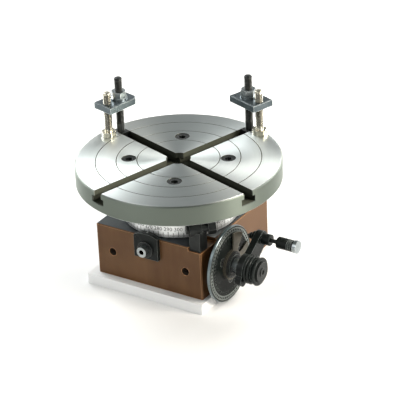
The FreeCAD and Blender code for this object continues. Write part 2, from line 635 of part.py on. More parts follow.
def make_worm_wheel():
    """Forty straight gaps, leaned to the worm's lead, cut round a blank; one faces the worm."""
    module, teeth = size("gear_module"), int(size("wheel_teeth"))
    pitch, lean = math.pi * module, math.tan(math.radians(20))
    radius, width = module * teeth / 2, size("wheel_width")
    tip, root = radius + module, radius - 1.25 * module
    half = pitch / 4 + size("backlash") / 4
    lead_angle = math.degrees(math.atan(module / (2 * size("worm_pitch_radius"))))
    outer, reach = tip + module / 2, width
    half_out, half_in = half + (outer - radius) * lean, half - (radius - root) * lean
    corners = [FreeCAD.Vector(-half_out, -outer, -reach), FreeCAD.Vector(half_out, -outer, -reach),
               FreeCAD.Vector(half_in, -root, -reach), FreeCAD.Vector(-half_in, -root, -reach)]
    gap = Part.Face(Part.makePolygon(corners + corners[:1])).extrude(
        FreeCAD.Vector(0, 0, 2 * reach))
    gap.rotate(FreeCAD.Vector(), FreeCAD.Vector(0, 1, 0), lead_angle)
    gaps = []
    for step in range(teeth):
        turned = gap.copy()
        turned.rotate(FreeCAD.Vector(), FreeCAD.Vector(0, 0, 1), 360.0 * step / teeth)
        gaps.append(turned)
    down = FreeCAD.Vector(0, 0, -width / 2)
    bore = Part.makeCylinder(size("spindle_tail_radius"), width, down)
    key = size("key_width")
    keyway = Part.makeBox(key, key, width, FreeCAD.Vector(size("key_inset"), -key / 2, -width / 2))
    keyway.rotate(FreeCAD.Vector(), FreeCAD.Vector(0, 0, 1), size("table_turn"))
    blank = Part.makeCylinder(tip, width, down).cut(bore).cut(keyway)
    wheel = doc.addObject("Part::Feature", "worm_wheel_cut")
    wheel.Shape = blank.cut(gaps)
    piece("worm_wheel", wheel, "0", "0", "worm_height")


# ---------------------------------------------------------------- worm, carrier and plate
def thread_solid(pitch, turns, crest_radius, root_radius, half_crest, half_root):
    """A trapezoid swept along a right-hand helix about Z, from zero upwards."""
    path = Part.makeHelix(pitch, pitch * turns, root_radius)
    section = Part.makePolygon([
        FreeCAD.Vector(root_radius, 0, -half_root), FreeCAD.Vector(crest_radius, 0, -half_crest),
        FreeCAD.Vector(crest_radius, 0, half_crest), FreeCAD.Vector(root_radius, 0, half_root),
        FreeCAD.Vector(root_radius, 0, -half_root)])
    return Part.Wire(path).makePipeShell([section], True, True)


def make_worm():
    """Single-start worm cut on its stepped shaft, drawn about Z with Z = X of the assembly."""
    module, middle = size("gear_module"), size("worm_pitch_radius")
    pitch, lean = math.pi * module, math.tan(math.radians(20))
    crest, root = middle + module, size("worm_root_radius")
    half = pitch / 4 - size("backlash") / 4
    sunk = root - size("thread_root_sink")
    turns = 2 * int(size("worm_thread_length") / pitch / 2)
    thread = thread_solid(pitch, turns, crest, sunk, half - module * lean,
                          half + (middle - sunk) * lean)
    thread.translate(FreeCAD.Vector(0, 0, -pitch * turns / 2))
    thread_end = size("worm_thread_length") / 2 + pitch / 2
    collar, shaft, play = size("worm_collar_width"), size("worm_shaft_radius"), size("end_gap") / 2
    tail_end, runout = size("worm_tail_gap") - size("worm_bore_end"), size("thread_runout")
    shaft_start = size("carrier_start") - collar
    shoulder = size("spacer_start")
    steps = [(size("worm_tail_radius"), tail_end, -thread_end - runout),
             (root, -thread_end - runout, shaft_start - collar),
             (crest, shaft_start - collar, shaft_start + collar - play),
             (shaft, shaft_start + collar - play, shoulder),
             (size("shaft_end_radius"), shoulder, size("shaft_end"))]
    worm = thread
    for radius, start, end in steps:
        worm = worm.fuse(Part.makeCylinder(radius, end - start, FreeCAD.Vector(0, 0, start)))
    tapped = size("crank_screw_length")
    hole = Part.makeCylinder(size("crank_screw_radius") + size("running_clearance"), tapped,
                             FreeCAD.Vector(0, 0, size("shaft_end") - tapped))
    solid = doc.addObject("Part::Feature", "worm_cut")
    solid.Shape = worm.cut(hole).removeSplitter()
    on_worm("worm", solid)

    bush = tube("worm_tail_bush_ring", "worm_bore_radius", "worm_tail_radius + running_clearance",
                "worm_bore_end - worm_thread_length / 2 - 3 * thread_runout", "0", "0",
                "-worm_bore_end")
    on_worm("worm_tail_bush", bush)


def make_carrier_and_plate():
    """Flanged sleeve that carries the worm, the hole plate on it, and their screws."""
    length = "plate_front - carrier_start + spigot_length"
    sleeve = fuse("carrier_blank",
                  cylinder("carrier_barrel", "carrier_barrel_radius",
                           "right_face - carrier_start", "0", "0", "carrier_start"),
                  cylinder("carrier_rim", "carrier_flange_radius", "carrier_flange",
                           "0", "0", "right_face"),
                  cylinder("carrier_spigot", "spigot_radius",
                           "plate_thickness + spigot_length", "0", "0", "plate_back"))
    bore = cylinder("carrier_bore_tool", "worm_shaft_radius + running_clearance", length,
                    "0", "0", "carrier_start")
    groove = tube("carrier_groove", "spigot_radius + 1", "spigot_radius - snap_groove_depth",
                  "snap_ring_thickness + 2 * snap_ring_play", "0", "0",
                  "snap_ring_start - snap_ring_play")
    first = list(around(3, "carrier_screw_circle", "90"))
    second = list(around(3, "carrier_screw_circle", "30"))
    seats = [flat_screw_seat("carrier_seat_%d" % i, "small_screw_radius", "carrier_flange + 1",
                             x, y, "plate_back") for i, (x, y) in enumerate(first)]
    taps = [cylinder("plate_tap_%d" % i, "small_screw_radius + running_clearance",
                     "plate_screw_length - plate_thickness + tap_runout", x, y,
                     "plate_front - plate_screw_length - tap_runout")
            for i, (x, y) in enumerate(second)]
    on_worm("plate_carrier", cut("carrier_cut", sleeve, bore, groove, *seats, *taps))
    screws = [at(flat_screw("carrier_screw_%d" % i, "small_screw_radius", "carrier_screw_length"),
                 x, y, "plate_back") for i, (x, y) in enumerate(first)]
    on_worm("carrier_screws", group("carrier_screw_set", screws))
    screws = [at(flat_screw("plate_screw_%d" % i, "small_screw_radius", "plate_screw_length"),
                 x, y, "plate_front") for i, (x, y) in enumerate(second)]
    on_worm("plate_screws", group("plate_screw_set", screws))
    ring = tube("snap_ring_wire", "snap_ring_radius",
                "spigot_radius - snap_groove_depth + snap_ring_play",
                "snap_ring_thickness", "0", "0", "snap_ring_start")
    gap = block("snap_ring_gap", "snap_ring_opening", "snap_ring_radius",
                "2 * snap_ring_thickness", "-snap_ring_opening / 2", "-1.5 * snap_ring_radius",
                "snap_ring_start - snap_ring_thickness / 2")
    on_worm("sector_snap_ring", cut("snap_ring_cut", ring, gap))

    body = new_body("plate_body")
    disc = new_sketch(body, "plate_disc", "XY_Plane", "plate_back")
    circle(disc, "plate_radius")
    solid = pad(body, disc, "plate_thickness")
    chamfer(body, solid, "plate_edge", lambda e: e.BoundBox.XLength > 1)
    drill(body, "plate_bore", "XY_Plane", "plate_front", "plate_thickness",
          "spigot_radius + running_clearance", [("0", "0")])
    drill(body, "plate_screw_holes", "XY_Plane", "plate_front", "plate_thickness",
          "small_screw_radius + 2 * running_clearance", second)
    sinks = new_sketch(body, "plate_sinks", "XY_Plane", "plate_front")
    for x, y in second:
        circle(sinks, "2 * small_screw_radius + 3 * running_clearance", x, y)
    sunk = pocket(body, sinks, "small_screw_radius + running_clearance")
    axis = [f for f in body.Origin.OriginFeatures if f.Role == "Z_Axis"][0]
    for name, reach, radius, count in (
            ("inner_hole", "inner_circle", "inner_hole_radius", "inner_holes"),
            ("index_hole", "index_circle", "index_hole_radius", "index_holes")):
        first_hole = drill(body, name, "XY_Plane", "plate_front", "plate_thickness", radius,
                           [("%s * cos(crank_turn * 1 deg)" % reach,
                             "%s * sin(crank_turn * 1 deg)" % reach)])
        ring = body.newObject("PartDesign::PolarPattern", name + "_ring")
        ring.Originals = [first_hole]
        ring.Axis = (axis, [""])
        ring.Angle = 360
        bind(ring, Occurrences=count)
        body.Tip = ring
        doc.recompute()
    on_worm("dividing_plate", body)


def make_sector():
    """Two arms that span the holes to be counted, side by side on the carrier's spigot."""
    bore = cylinder("sector_bore_tool", "spigot_radius + running_clearance", "10")
    for name, order, start, end in (
            ("sector_rear_arm", 0, "sector_rear_from", "sector_rear_to"),
            ("sector_front_arm", 1, "sector_front_from", "sector_front_to")):
        back = "plate_front + sector_gap + %d * (sector_thickness + sector_gap)" % order
        ring = cylinder(name + "_ring", "sector_ring_radius", "sector_thickness")
        blade = cylinder(name + "_blade", "sector_reach", "sector_thickness", turn=start)
        bind(blade, Angle="%s - %s" % (end, start))
        arm = cut(name + "_cut", fuse(name + "_blank", ring, blade), bore)
        on_worm(name, arm, back)
    spring = tube("sector_spring_ring", "sector_ring_radius - 1",
                  "spigot_radius + 2 * running_clearance", "sector_spring")
    on_worm("sector_spring", spring, "plate_front + 3 * sector_gap + 2 * sector_thickness")


# ---------------------------------------------------------------- crank and plunger
def make_crank():
    """Offset crank: spacer, arm with its boss, knob, end disc and screw, plunger sleeve."""
    spacer = tube("crank_spacer_ring", "spacer_radius", "shaft_end_radius + running_clearance",
                  "crank_start - spacer_start", "0", "0", "spacer_start")
    on_worm("crank_spacer", spacer)

    body = new_body("arm_body")
    web = new_sketch(body, "arm_web")
    outline(web, [("0", "-arm_web_half_width"), ("index_circle", "-arm_end_radius"),
                  ("index_circle", "arm_end_radius"), ("0", "arm_web_half_width"),
                  ("-arm_tail_reach", "arm_tail_radius"), ("-arm_tail_reach", "-arm_tail_radius")])
    pad(body, web, "arm_thickness")
    for name, radius, x in (("arm_hub", "arm_boss_radius", "0"),
                            ("arm_end", "arm_end_radius", "index_circle"),
                            ("arm_tail", "arm_tail_radius", "-arm_tail_reach")):
        disc = new_sketch(body, name)
        circle(disc, radius, x)
        pad(body, disc, "arm_thickness")
    drill(body, "arm_bore", "XY_Plane", "arm_thickness", "arm_thickness",
          "shaft_end_radius + running_clearance", [("0", "0")])
    drill(body, "arm_sleeve_hole", "XY_Plane", "arm_thickness", "arm_thickness",
          "sleeve_radius", [("index_circle", "0")])
    on_worm("crank_arm", body, "crank_start", "crank_turn")

    knob = tube("knob_turned", "knob_radius", "shaft_end_radius + running_clearance",
                "knob_length")
    on_worm("crank_knob", knob, "crank_start + arm_thickness", "crank_turn")
    face = "crank_start + arm_thickness + knob_length"
    disc = cut("disc_cut", cylinder("disc_blank", "disc_radius", "disc_thickness"),
               cylinder("disc_sink", "crank_screw_head + running_clearance", "disc_thickness",
                        "0", "0", "disc_sink_depth"),
               cylinder("disc_bore", "crank_screw_radius + 2 * running_clearance",
                        "disc_thickness"))
    on_worm("crank_disc", disc, face, "crank_turn")
    screw = socket_screw("crank_cap_screw", "crank_screw_head", "disc_thickness",
                         "crank_screw_radius", "crank_screw_length", "crank_screw_head")
    on_worm("crank_screw", screw, face + " + disc_sink_depth", "crank_turn")


def on_crank(name, thing, x):
    """Keep a piece on the plunger's axis at the end of the crank."""
    return piece(name, thing, x, "-centre_distance + index_circle * cos(crank_turn * 1 deg)",
                 "worm_height + index_circle * sin(crank_turn * 1 deg)", tip=TIP_TO_X)


def make_plunger():
    """Spring plunger, drawn back: its tip clears the sector arms and can drop into a hole."""
    start, wall = "sleeve_start", "sleeve_wall"
    sleeve = cylinder("sleeve_blank", "sleeve_radius", "sleeve_end - " + start)
    room = cylinder("sleeve_room", "sleeve_bore_radius", "sleeve_end - %s - 2 * %s" % (start, wall),
                    "0", "0", wall)
    bore = cylinder("sleeve_bore", "plunger_shank_radius + running_clearance",
                    "sleeve_end - " + start)
    on_crank("plunger_sleeve", cut("sleeve_cut", sleeve, room, bore), start)

    shank_start = "plunger_rest_tip + pin_tip_length"
    tip = cylinder("pin_tip", "pin_radius", "pin_tip_length", "0", "0", "plunger_rest_tip")
    shank = cylinder("pin_shank", "plunger_shank_radius",
                     "grip_start + grip_socket - (%s)" % shank_start, "0", "0", shank_start)
    collar = cylinder("pin_collar", "plunger_collar_radius", "sleeve_wall",
                      "0", "0", "plunger_collar_at")
    on_crank("index_pin", fuse("pin_whole", tip, shank, collar), "0")
    grip = cylinder("grip_blank", "grip_radius", "grip_length")
    socket = cylinder("grip_drill", "plunger_shank_radius", "grip_socket")
    on_crank("plunger_grip", cut("grip_cut", grip, socket), "grip_start")
    on_crank("plunger_cap", cylinder("cap_disc", "cap_radius", "cap_thickness"),
             "grip_start + grip_length")

    seat = size("plunger_collar_at") + size("sleeve_wall")
    room = size("sleeve_end") - size("sleeve_wall") - seat
    inner, wire = size("plunger_shank_radius") + size("spring_play"), size("spring_wire")
    rise = room - wire
    path = Part.makeHelix(rise / size("spring_turns"), rise, inner)
    section = Part.makePolygon([
        FreeCAD.Vector(inner, 0, 0), FreeCAD.Vector(inner + wire, 0, 0),
        FreeCAD.Vector(inner + wire, 0, wire), FreeCAD.Vector(inner, 0, wire),
        FreeCAD.Vector(inner, 0, 0)])
    spring = doc.addObject("Part::Feature", "spring_coil")
    spring.Shape = Part.Wire(path).makePipeShell([section], True, True)
    on_crank("plunger_spring", spring, "plunger_collar_at + sleeve_wall")


# ---------------------------------------------------------------- table lock
def make_lock():
    """Post on the corner shelf; a quarter turn of its cross screw cams a brass plug inwards."""
    outward, seat = "lock_turn_angle", "housing_height - shelf_drop"
    stem = block("lock_stem", "lock_stem_width", "lock_stem_depth",
                 "lock_height - lock_stem_gap - (%s)" % seat, "lock_post_x - lock_stem_width / 2",
                 "lock_post_y - lock_stem_depth / 2", seat)
    spigot = cylinder("lock_spigot", "lock_spigot_radius", "lock_spigot_length", "lock_post_x",
                      "lock_post_y", seat + " - lock_spigot_length")
    eye = cylinder("lock_eye", "lock_eye_radius", "lock_eye_length", "lock_axis_reach",
                   "lock_eye_length / 2", tip=TIP_TO_FRONT)
    boss = cylinder("lock_boss", "lock_plug_radius + lock_boss_wall",
                    "lock_axis_reach - lock_post_inner", "lock_post_inner", tip=TIP_TO_RIGHT)
    head = at(fuse("lock_head_blank", eye, boss), "0", "0", "lock_height", turn=outward)
    screw_bore = at(fuse("lock_screw_bore", cylinder(
        "lock_screw_drill", "lock_screw_radius + running_clearance", "3 * lock_eye_length",
        "lock_axis_reach", "1.5 * lock_eye_length", tip=TIP_TO_FRONT), cylinder(
        "lock_plug_drill", "lock_plug_radius + running_clearance",
        "lock_axis_reach - lock_post_inner + 1", "lock_post_inner - 1", tip=TIP_TO_RIGHT)),
        "0", "0", "lock_height", turn=outward)
    piece("lock_post", cut("lock_post_cut", fuse("lock_post_blank", stem, spigot, head),
                           screw_bore))

    inner = "spindle_head_radius + lock_plug_gap"
    plug = cylinder("lock_plug_rod", "lock_plug_radius",
                    "lock_axis_reach - lock_screw_radius + lock_cam_throw - lock_cam_slack"
                    " - (%s)" % inner)
    facing = "rotation(vector(0; 0; 1); %s) * " % bound(outward)
    piece("lock_plug", plug, "(%s) * cos(%s * 1 deg)" % (inner, outward),
          "(%s) * sin(%s * 1 deg)" % (inner, outward), "lock_height",
          tip=facing + TIP_TO_RIGHT)

    half, inner_end = "lock_cam_length / 2", "lock_eye_length / 2 + 2"
    neck = "lock_eye_length / 2 + lock_screw_reach"
    screw = fuse("lock_screw_blank",
                 cylinder("lock_screw_tail", "lock_screw_radius", "%s - %s" % (inner_end, half),
                          "0", "0", "-(%s)" % inner_end),
                 cylinder("lock_screw_cam",
                          "lock_screw_radius - lock_cam_throw - running_clearance",
                          "lock_cam_length", "0", "-lock_cam_throw", "-" + half),
                 cylinder("lock_screw_shank", "lock_screw_radius", "%s - %s" % (neck, half),
                          "0", "0", half),
                 hexagon("lock_screw_head", "lock_head_flats", "lock_head", "0", "0", neck))
    screw = cut("lock_screw_cut", screw,
                hexagon("lock_screw_socket", "lock_head_flats / 2", "lock_head", "0", "0",
                        neck + " + lock_head * 0.4"))
    piece("lock_screw", screw, "lock_axis_reach * cos(%s * 1 deg)" % outward,
          "lock_axis_reach * sin(%s * 1 deg)" % outward, "lock_height",
          tip=facing + TIP_TO_BACK)


# ---------------------------------------------------------------- strap clamps
def make_clamp(side, reach, stud_angle, strap_turn):
    """One strap clamp: T-nut and stud in a slot, nut and washer on the strap, jack screw."""
    stud_at = ("%s * cos((%s) * 1 deg)" % (reach, stud_angle),
               "%s * sin((%s) * 1 deg)" % (reach, stud_angle), "table_top")
    wide = "slot_wide - 2 * tee_clearance"
    neck = "slot_neck_width - 2 * tee_clearance"
    foot = block(side + "_tee_foot", "tee_nut_length", wide, "slot_wide_height - tee_clearance",
                 "-tee_nut_length / 2", "-(%s) / 2" % wide, "-slot_lip - slot_wide_height")
    rib = block(side + "_tee_rib", "tee_nut_length", neck, "slot_lip",
                "-tee_nut_length / 2", "-(%s) / 2" % neck, "-slot_lip - tee_clearance")
    tapped = cylinder(side + "_tee_tap", "stud_radius", "20", "0", "0", "-20")
    piece(side + "_tee_nut",
          cut(side + "_tee_cut", fuse(side + "_tee_blank", foot, rib), tapped),
          *stud_at, turn=stud_angle)

    stud = fuse(side + "_stud_whole",
                cylinder(side + "_stud_rod", "stud_radius",
                         "stud_top + slot_lip + slot_wide_height - 2 * thread_point", "0", "0",
                         "-slot_lip - slot_wide_height + thread_point"),
                cone(side + "_stud_point", "stud_radius", "stud_radius - thread_point",
                     "thread_point", "0", "0", "stud_top - thread_point"))
    piece(side + "_stud", stud, *stud_at, turn=stud_angle)

    seat = "strap_height + strap_thickness"
    washer = tube(side + "_washer_ring", "washer_radius", "stud_radius + stud_clearance / 2",
                  "washer_thickness", "0", "0", seat)
    piece(side + "_washer", washer, *stud_at, turn=strap_turn)
    nut = doc.addObject("Part::Common", side + "_nut_shape")
    nut.Base = hexagon(side + "_nut_hex", "nut_flats", "hex_nut_height")
    nut.Tool = cone(side + "_nut_cone", "nut_flats * 0.52 + hex_nut_height", "nut_flats * 0.52",
                    "hex_nut_height")
    bored = cut(side + "_nut_bored", nut, cylinder(side + "_nut_bore", "stud_radius",
                                                   "hex_nut_height"))
    lifted = group(side + "_nut_lifted", [at(bored, "0", "0", seat + " + washer_thickness")])
    piece(side + "_nut", lifted, *stud_at, turn=strap_turn)

    body = new_body(side + "_strap_body")
    plan = new_sketch(body, side + "_strap_plan", "XY_Plane", "strap_height")
    half, tip = "strap_width / 2", "strap_width / 6"
    outline(plan, [("-strap_front", "-" + half), ("strap_back - " + tip, "-" + half),
                   ("strap_back", "-%s + %s" % (half, tip)), ("strap_back", half),
                   ("-strap_front", half)])
    solid = pad(body, plan, "strap_thickness")
    top = value(seat)
    chamfer(body, solid, "strap_edge * 0.5", lambda e: level(e, top))
    slot = new_sketch(body, side + "_strap_slot", "XY_Plane", seat)
    near, far = "-stud_radius - stud_clearance", "stud_radius + stud_clearance"
    outline(slot, [(near, near), ("stud_slot_length / 2", near),
                   ("stud_slot_length / 2 + " + far, "0"), ("stud_slot_length / 2", far),
                   (near, far)])
    pocket(body, slot, "strap_thickness")
    drill(body, side + "_jack_hole", "XY_Plane", seat, "strap_thickness",
          "jack_radius + running_clearance", [("-jack_offset", "0")])
    piece(side + "_strap", body, *stud_at, turn=strap_turn)

    jack = fuse(side + "_jack_whole",
                hexagon(side + "_jack_head", "nut_flats", "jack_head", "-jack_offset"),
                cylinder(side + "_jack_rod", "jack_radius", "jack_top - jack_point",
                         "-jack_offset"),
                cone(side + "_jack_point", "jack_radius", "jack_radius - jack_point",
                     "jack_point", "-jack_offset", "0", "jack_top - jack_point"))
    piece(side + "_jack_screw", jack, *stud_at, turn=strap_turn)


make_housing()
make_index_plate()
make_bushes_and_cover()
make_table()
make_spindle()
make_worm_wheel()
make_worm()
make_carrier_and_plate()
make_sector()
make_crank()
make_plunger()
make_lock()
make_clamp("left", "left_stud_reach", "table_turn + 90", "left_strap_turn")
make_clamp("right", "right_stud_reach", "table_turn", "right_strap_turn")
doc.recompute()

# ---------------------------------------------------------------- checks and export
for thing in doc.Objects:
    if "Invalid" in thing.State or "Error" in thing.State:
        raise RuntimeError("%s failed: %s" % (thing.Label, thing.State))
os.makedirs("parts", exist_ok=True)
for name, thing in PIECES.items():
    shape = thing.Shape
    if shape.isNull() or not shape.isValid():
        raise RuntimeError("%s has no valid shape" % name)
    shape.exportStep("parts/%s.step" % name)
    print("%-22s %3d solid(s) %10.1f mm3" % (name, len(shape.Solids), shape.Volume))
print("%d sub-parts" % len(PIECES))
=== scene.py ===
# %% [markdown]
# # A horizontal dividing head, dressed for the camera
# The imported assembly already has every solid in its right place: a brown block housing, a round
# table with two crossing T-slots, a graduated ring under it, a hole plate with its crank on the
# right, and two strap clamps on the table. This file gives each surface its finish, and adds what
# a solid modeller leaves out: the engraved scale, threads, grips and rounded screw points.
#
# Everything is in metres, in the frame of the assembly: the table turns about Z, X points along
# the crank's axis, and the front face looks along -Y.

import json
import math

import bpy
import numpy as np
from mathutils import Matrix, Vector


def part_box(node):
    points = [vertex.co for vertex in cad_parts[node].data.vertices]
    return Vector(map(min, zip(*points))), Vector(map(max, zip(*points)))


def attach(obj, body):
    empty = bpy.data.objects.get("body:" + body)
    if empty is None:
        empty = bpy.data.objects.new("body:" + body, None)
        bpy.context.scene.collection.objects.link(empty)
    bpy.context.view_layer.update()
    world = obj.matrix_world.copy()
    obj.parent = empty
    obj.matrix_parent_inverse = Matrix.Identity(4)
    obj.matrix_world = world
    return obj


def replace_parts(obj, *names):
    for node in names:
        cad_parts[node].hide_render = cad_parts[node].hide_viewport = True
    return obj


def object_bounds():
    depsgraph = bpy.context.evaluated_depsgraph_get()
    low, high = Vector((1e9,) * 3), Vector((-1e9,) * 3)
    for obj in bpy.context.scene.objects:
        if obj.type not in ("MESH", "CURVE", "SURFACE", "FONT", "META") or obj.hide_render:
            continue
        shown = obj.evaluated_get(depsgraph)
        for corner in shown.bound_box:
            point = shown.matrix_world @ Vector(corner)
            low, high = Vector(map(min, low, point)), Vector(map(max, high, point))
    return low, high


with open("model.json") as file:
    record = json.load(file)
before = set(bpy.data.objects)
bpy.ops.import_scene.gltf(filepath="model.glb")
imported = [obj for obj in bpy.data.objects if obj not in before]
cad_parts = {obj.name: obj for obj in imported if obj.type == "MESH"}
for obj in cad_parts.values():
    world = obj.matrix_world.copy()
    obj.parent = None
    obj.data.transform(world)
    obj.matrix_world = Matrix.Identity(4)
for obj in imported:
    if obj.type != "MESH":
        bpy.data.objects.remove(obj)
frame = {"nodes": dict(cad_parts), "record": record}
nodes = frame["nodes"]
cad_low, cad_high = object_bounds()
MM = 0.001
print(f"{len(nodes)} solids, {(cad_high.x - cad_low.x) / MM:.1f} mm across")

# %% [markdown]
# ## Places that everything else is worked out from
# The boxes of a few solids give the centres, radii and levels of the turned parts. A round solid's
# box is as wide as its diameter, so half its width is its radius. Nothing below types a size that
# a box can give.

# %% Measure the turned parts
def low_high(node):
    """The two corners of a solid's box, as arrays."""
    low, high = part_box(node)
    return np.array(low), np.array(high)


table_low, table_high = low_high("table")
table_top, table_radius = table_high[2], (table_high[0] - table_low[0]) / 2
ring_low, ring_high = low_high("scale_ring")
ring_radius = (ring_high[0] - ring_low[0]) / 2
plate_low, plate_high = low_high("dividing_plate")
plate_centre = (plate_low + plate_high) / 2
plate_radius = (plate_high[2] - plate_low[2]) / 2
housing_low, housing_high = low_high("housing")
worm_axis = np.array([0.0, plate_centre[1], plate_centre[2]])
print(f"table {2 * table_radius / MM:.1f} mm, hole plate {2 * plate_radius / MM:.1f} mm across")

# %% [markdown]
# ## Camera
# A long lens from the right and above: the table reads as a flat ellipse, and the housing's front
# and right faces both show. The camera is built from three directions (right, up, back) instead of
# Euler angles, so the small roll of the horizon is one more rotation of right and up.

# %% Camera
AZIMUTH, ELEVATION, ROLL = (math.radians(a) for a in (32.844, 27.809, -2.462))
DISTANCE, LENS = 1.445, 178.46
AIM = np.array([11.287, 8.678, 47.597]) * MM


def camera_axes(azimuth, elevation, roll):
    """Right, up and back of a camera: back = (sin a cos e, -cos a cos e, sin e), then a roll."""
    back = np.array([math.sin(azimuth) * math.cos(elevation),
                     -math.cos(azimuth) * math.cos(elevation), math.sin(elevation)])
    right = np.array([math.cos(azimuth), math.sin(azimuth), 0.0])
    up = np.cross(back, right)
    c, s = math.cos(roll), math.sin(roll)
    return c * right + s * up, c * up - s * right, back


camera = bpy.data.objects.new("camera", bpy.data.cameras.new("camera"))
bpy.context.scene.collection.objects.link(camera)
camera.data.lens = LENS
camera.data.sensor_width = 36.0
camera.data.clip_start, camera.data.clip_end = 0.05, 20.0
right, up, back = camera_axes(AZIMUTH, ELEVATION, ROLL)
place = Matrix(np.column_stack([right, up, back]).tolist()).to_4x4()
place.translation = Vector(AIM + DISTANCE * back)
camera.matrix_world = place
bpy.context.scene.camera = camera
bpy.context.scene.view_settings.view_transform = "Standard"
print("camera", [round(v, 3) for v in camera.location])

# %% [markdown]
# ## Small helpers for meshes and shader trees
# Two kinds of helper are enough here. One turns numpy arrays into a mesh object that rides on a
# body of the assembly. The other places shader nodes and joins them, so a material reads as a
# list of its parts.

# %% Mesh helper
SHARP_ANGLE = math.radians(35)


def add_piece(name, points, faces, body, material, smooth=True):
    """A mesh object from arrays of points (n x 3, metres) and faces (rows of indices)."""
    mesh = bpy.data.meshes.new(name)
    mesh.from_pydata(np.asarray(points, float).tolist(), [], [list(f) for f in faces])
    mesh.polygons.foreach_set("use_smooth", np.full(len(mesh.polygons), smooth))
    mesh.set_sharp_from_angle(angle=SHARP_ANGLE)
    mesh.materials.append(material)
    mesh.update()
    piece = bpy.data.objects.new(name, mesh)
    bpy.context.scene.collection.objects.link(piece)
    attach(piece, body)
    print(f"{name}: {len(mesh.polygons)} faces on {body}")
    return piece


def grid_faces(rows, columns):
    """Four-cornered faces of a grid of points numbered row by row, each row closed to a ring."""
    r, c = np.arange(rows - 1)[:, None] * columns, np.arange(columns)[None, :]
    c2 = (c + 1) % columns
    quads = np.stack([r + c, r + c2, r + columns + c2, r + columns + c], -1)
    return quads.reshape(-1, 4).tolist()


# %% Shader helper
class Tree:
    """A thin wrapper round a node tree: add a node, set its inputs, join sockets."""

    def __init__(self, tree):
        self.tree = tree

    def add(self, kind, settings=None, **inputs):
        """A node of a kind, with attributes from settings and inputs by name or number."""
        node = self.tree.nodes.new("ShaderNode" + kind)
        for key, value in (settings or {}).items():
            setattr(node, key, value)
        for key, value in inputs.items():
            socket = node.inputs[int(key[1:]) if key[:1] == "i" and key[1:].isdigit() else
                                 key.replace("_", " ")]
            if isinstance(value, bpy.types.NodeSocket):
                self.tree.links.new(value, socket)
            else:
                socket.default_value = value
        return node

    def math(self, operation, a, b=0.0, c=0.0, clamp=False):
        """One arithmetic step; gives its value socket."""
        return self.add("Math", {"operation": operation, "use_clamp": clamp},
                        i0=a, i1=b, i2=c).outputs[0]

    def mix(self, share, first, second):
        """Two colours mixed by a share; gives the colour socket."""
        node = self.add("Mix", {"data_type": "RGBA"}, i0=share)
        for socket, colour in ((node.inputs[6], first), (node.inputs[7], second)):
            if isinstance(colour, bpy.types.NodeSocket):
                self.tree.links.new(colour, socket)
            else:
                socket.default_value = (*colour, 1.0)
        return node.outputs[2]

    def step(self, value, start, end):
        """A smooth step: 0 where the value is at the start, 1 where it is at the end."""
        node = self.add("MapRange", {"interpolation_type": "SMOOTHSTEP"}, i0=value, i1=start,
                        i2=end)
        return node.outputs[0]


def shader_group(name, inputs, outputs):
    """An empty shader node group with float inputs (name, default) and typed outputs."""
    group = bpy.data.node_groups.new(name, "ShaderNodeTree")
    for label, default in inputs:
        socket = group.interface.new_socket(label, in_out="INPUT", socket_type="NodeSocketFloat")
        socket.default_value = default
    for label, kind in outputs:
        group.interface.new_socket(label, in_out="OUTPUT", socket_type="NodeSocket" + kind)
    tree = Tree(group)
    start = group.nodes.new("NodeGroupInput")
    end = group.nodes.new("NodeGroupOutput")
    return tree, start, end


# %% [markdown]
# ## Effects that several finishes share
# Each effect is a node group with named inputs, so that a finish can place it by name. *Grain* is
# fine unevenness: a height for the bump and a mask for colour and roughness. *Wear and edge
# highlight* finds where a face turns sharply, by comparing the true normal with one rounded by
# the Bevel node, because that works on any mesh, however coarse. The lighter colour put there is
# partly wear and partly a painted highlight. Both come back on every metal part. *Turning marks*
# are the rings a lathe tool leaves: noise that depends only on the distance from an axis.

# %% Grain group
def make_grain():
    """Object-space noise at two sizes: fine for the bump height, coarse for patches."""
    tree, start, end = shader_group("grain", [("Fine scale", 2500.0), ("Coarse scale", 60.0)],
                                    [("Height", "Float"), ("Patches", "Float")])
    place = tree.add("TexCoord").outputs["Object"]
    fine = tree.add("TexNoise", Vector=place, Scale=start.outputs[0], Detail=3.0)
    coarse = tree.add("TexNoise", Vector=place, Scale=start.outputs[1], Detail=4.0)
    patches = tree.step(coarse.outputs[0], 0.35, 0.65)
    tree.tree.links.new(fine.outputs[0], end.inputs[0])
    tree.tree.links.new(patches, end.inputs[1])
    return tree.tree


# The mask marks sharp edges; a finish lightens them there, for wear and as a painted edge
# highlight.
def make_worn_edges():
    """1 where the rounded normal leaves the true one, broken up by noise; 0 on open faces."""
    tree, start, end = shader_group("wear_and_edge_highlight", [("Radius", 0.0004), ("Break up", 0.5)],
                                    [("Mask", "Float")])
    rounded = tree.add("Bevel", {"samples": 6}, Radius=start.outputs[0])
    true_normal = tree.add("NewGeometry").outputs["True Normal"]
    alike = tree.add("VectorMath", {"operation": "DOT_PRODUCT"}, i0=rounded.outputs[0],
                     i1=true_normal).outputs["Value"]
    turned = tree.step(alike, 0.999, 0.93)
    place = tree.add("TexCoord").outputs["Object"]
    chips = tree.add("TexNoise", Vector=place, Scale=900.0, Detail=3.0).outputs[0]
    kept = tree.math("MULTIPLY_ADD", tree.math("SUBTRACT", chips, 0.5), start.outputs[1], 1.0)
    mask = tree.math("MULTIPLY", turned, kept, clamp=True)
    tree.tree.links.new(mask, end.inputs[0])
    return tree.tree


BROAD_RINGS_PER_METRE = 420.0


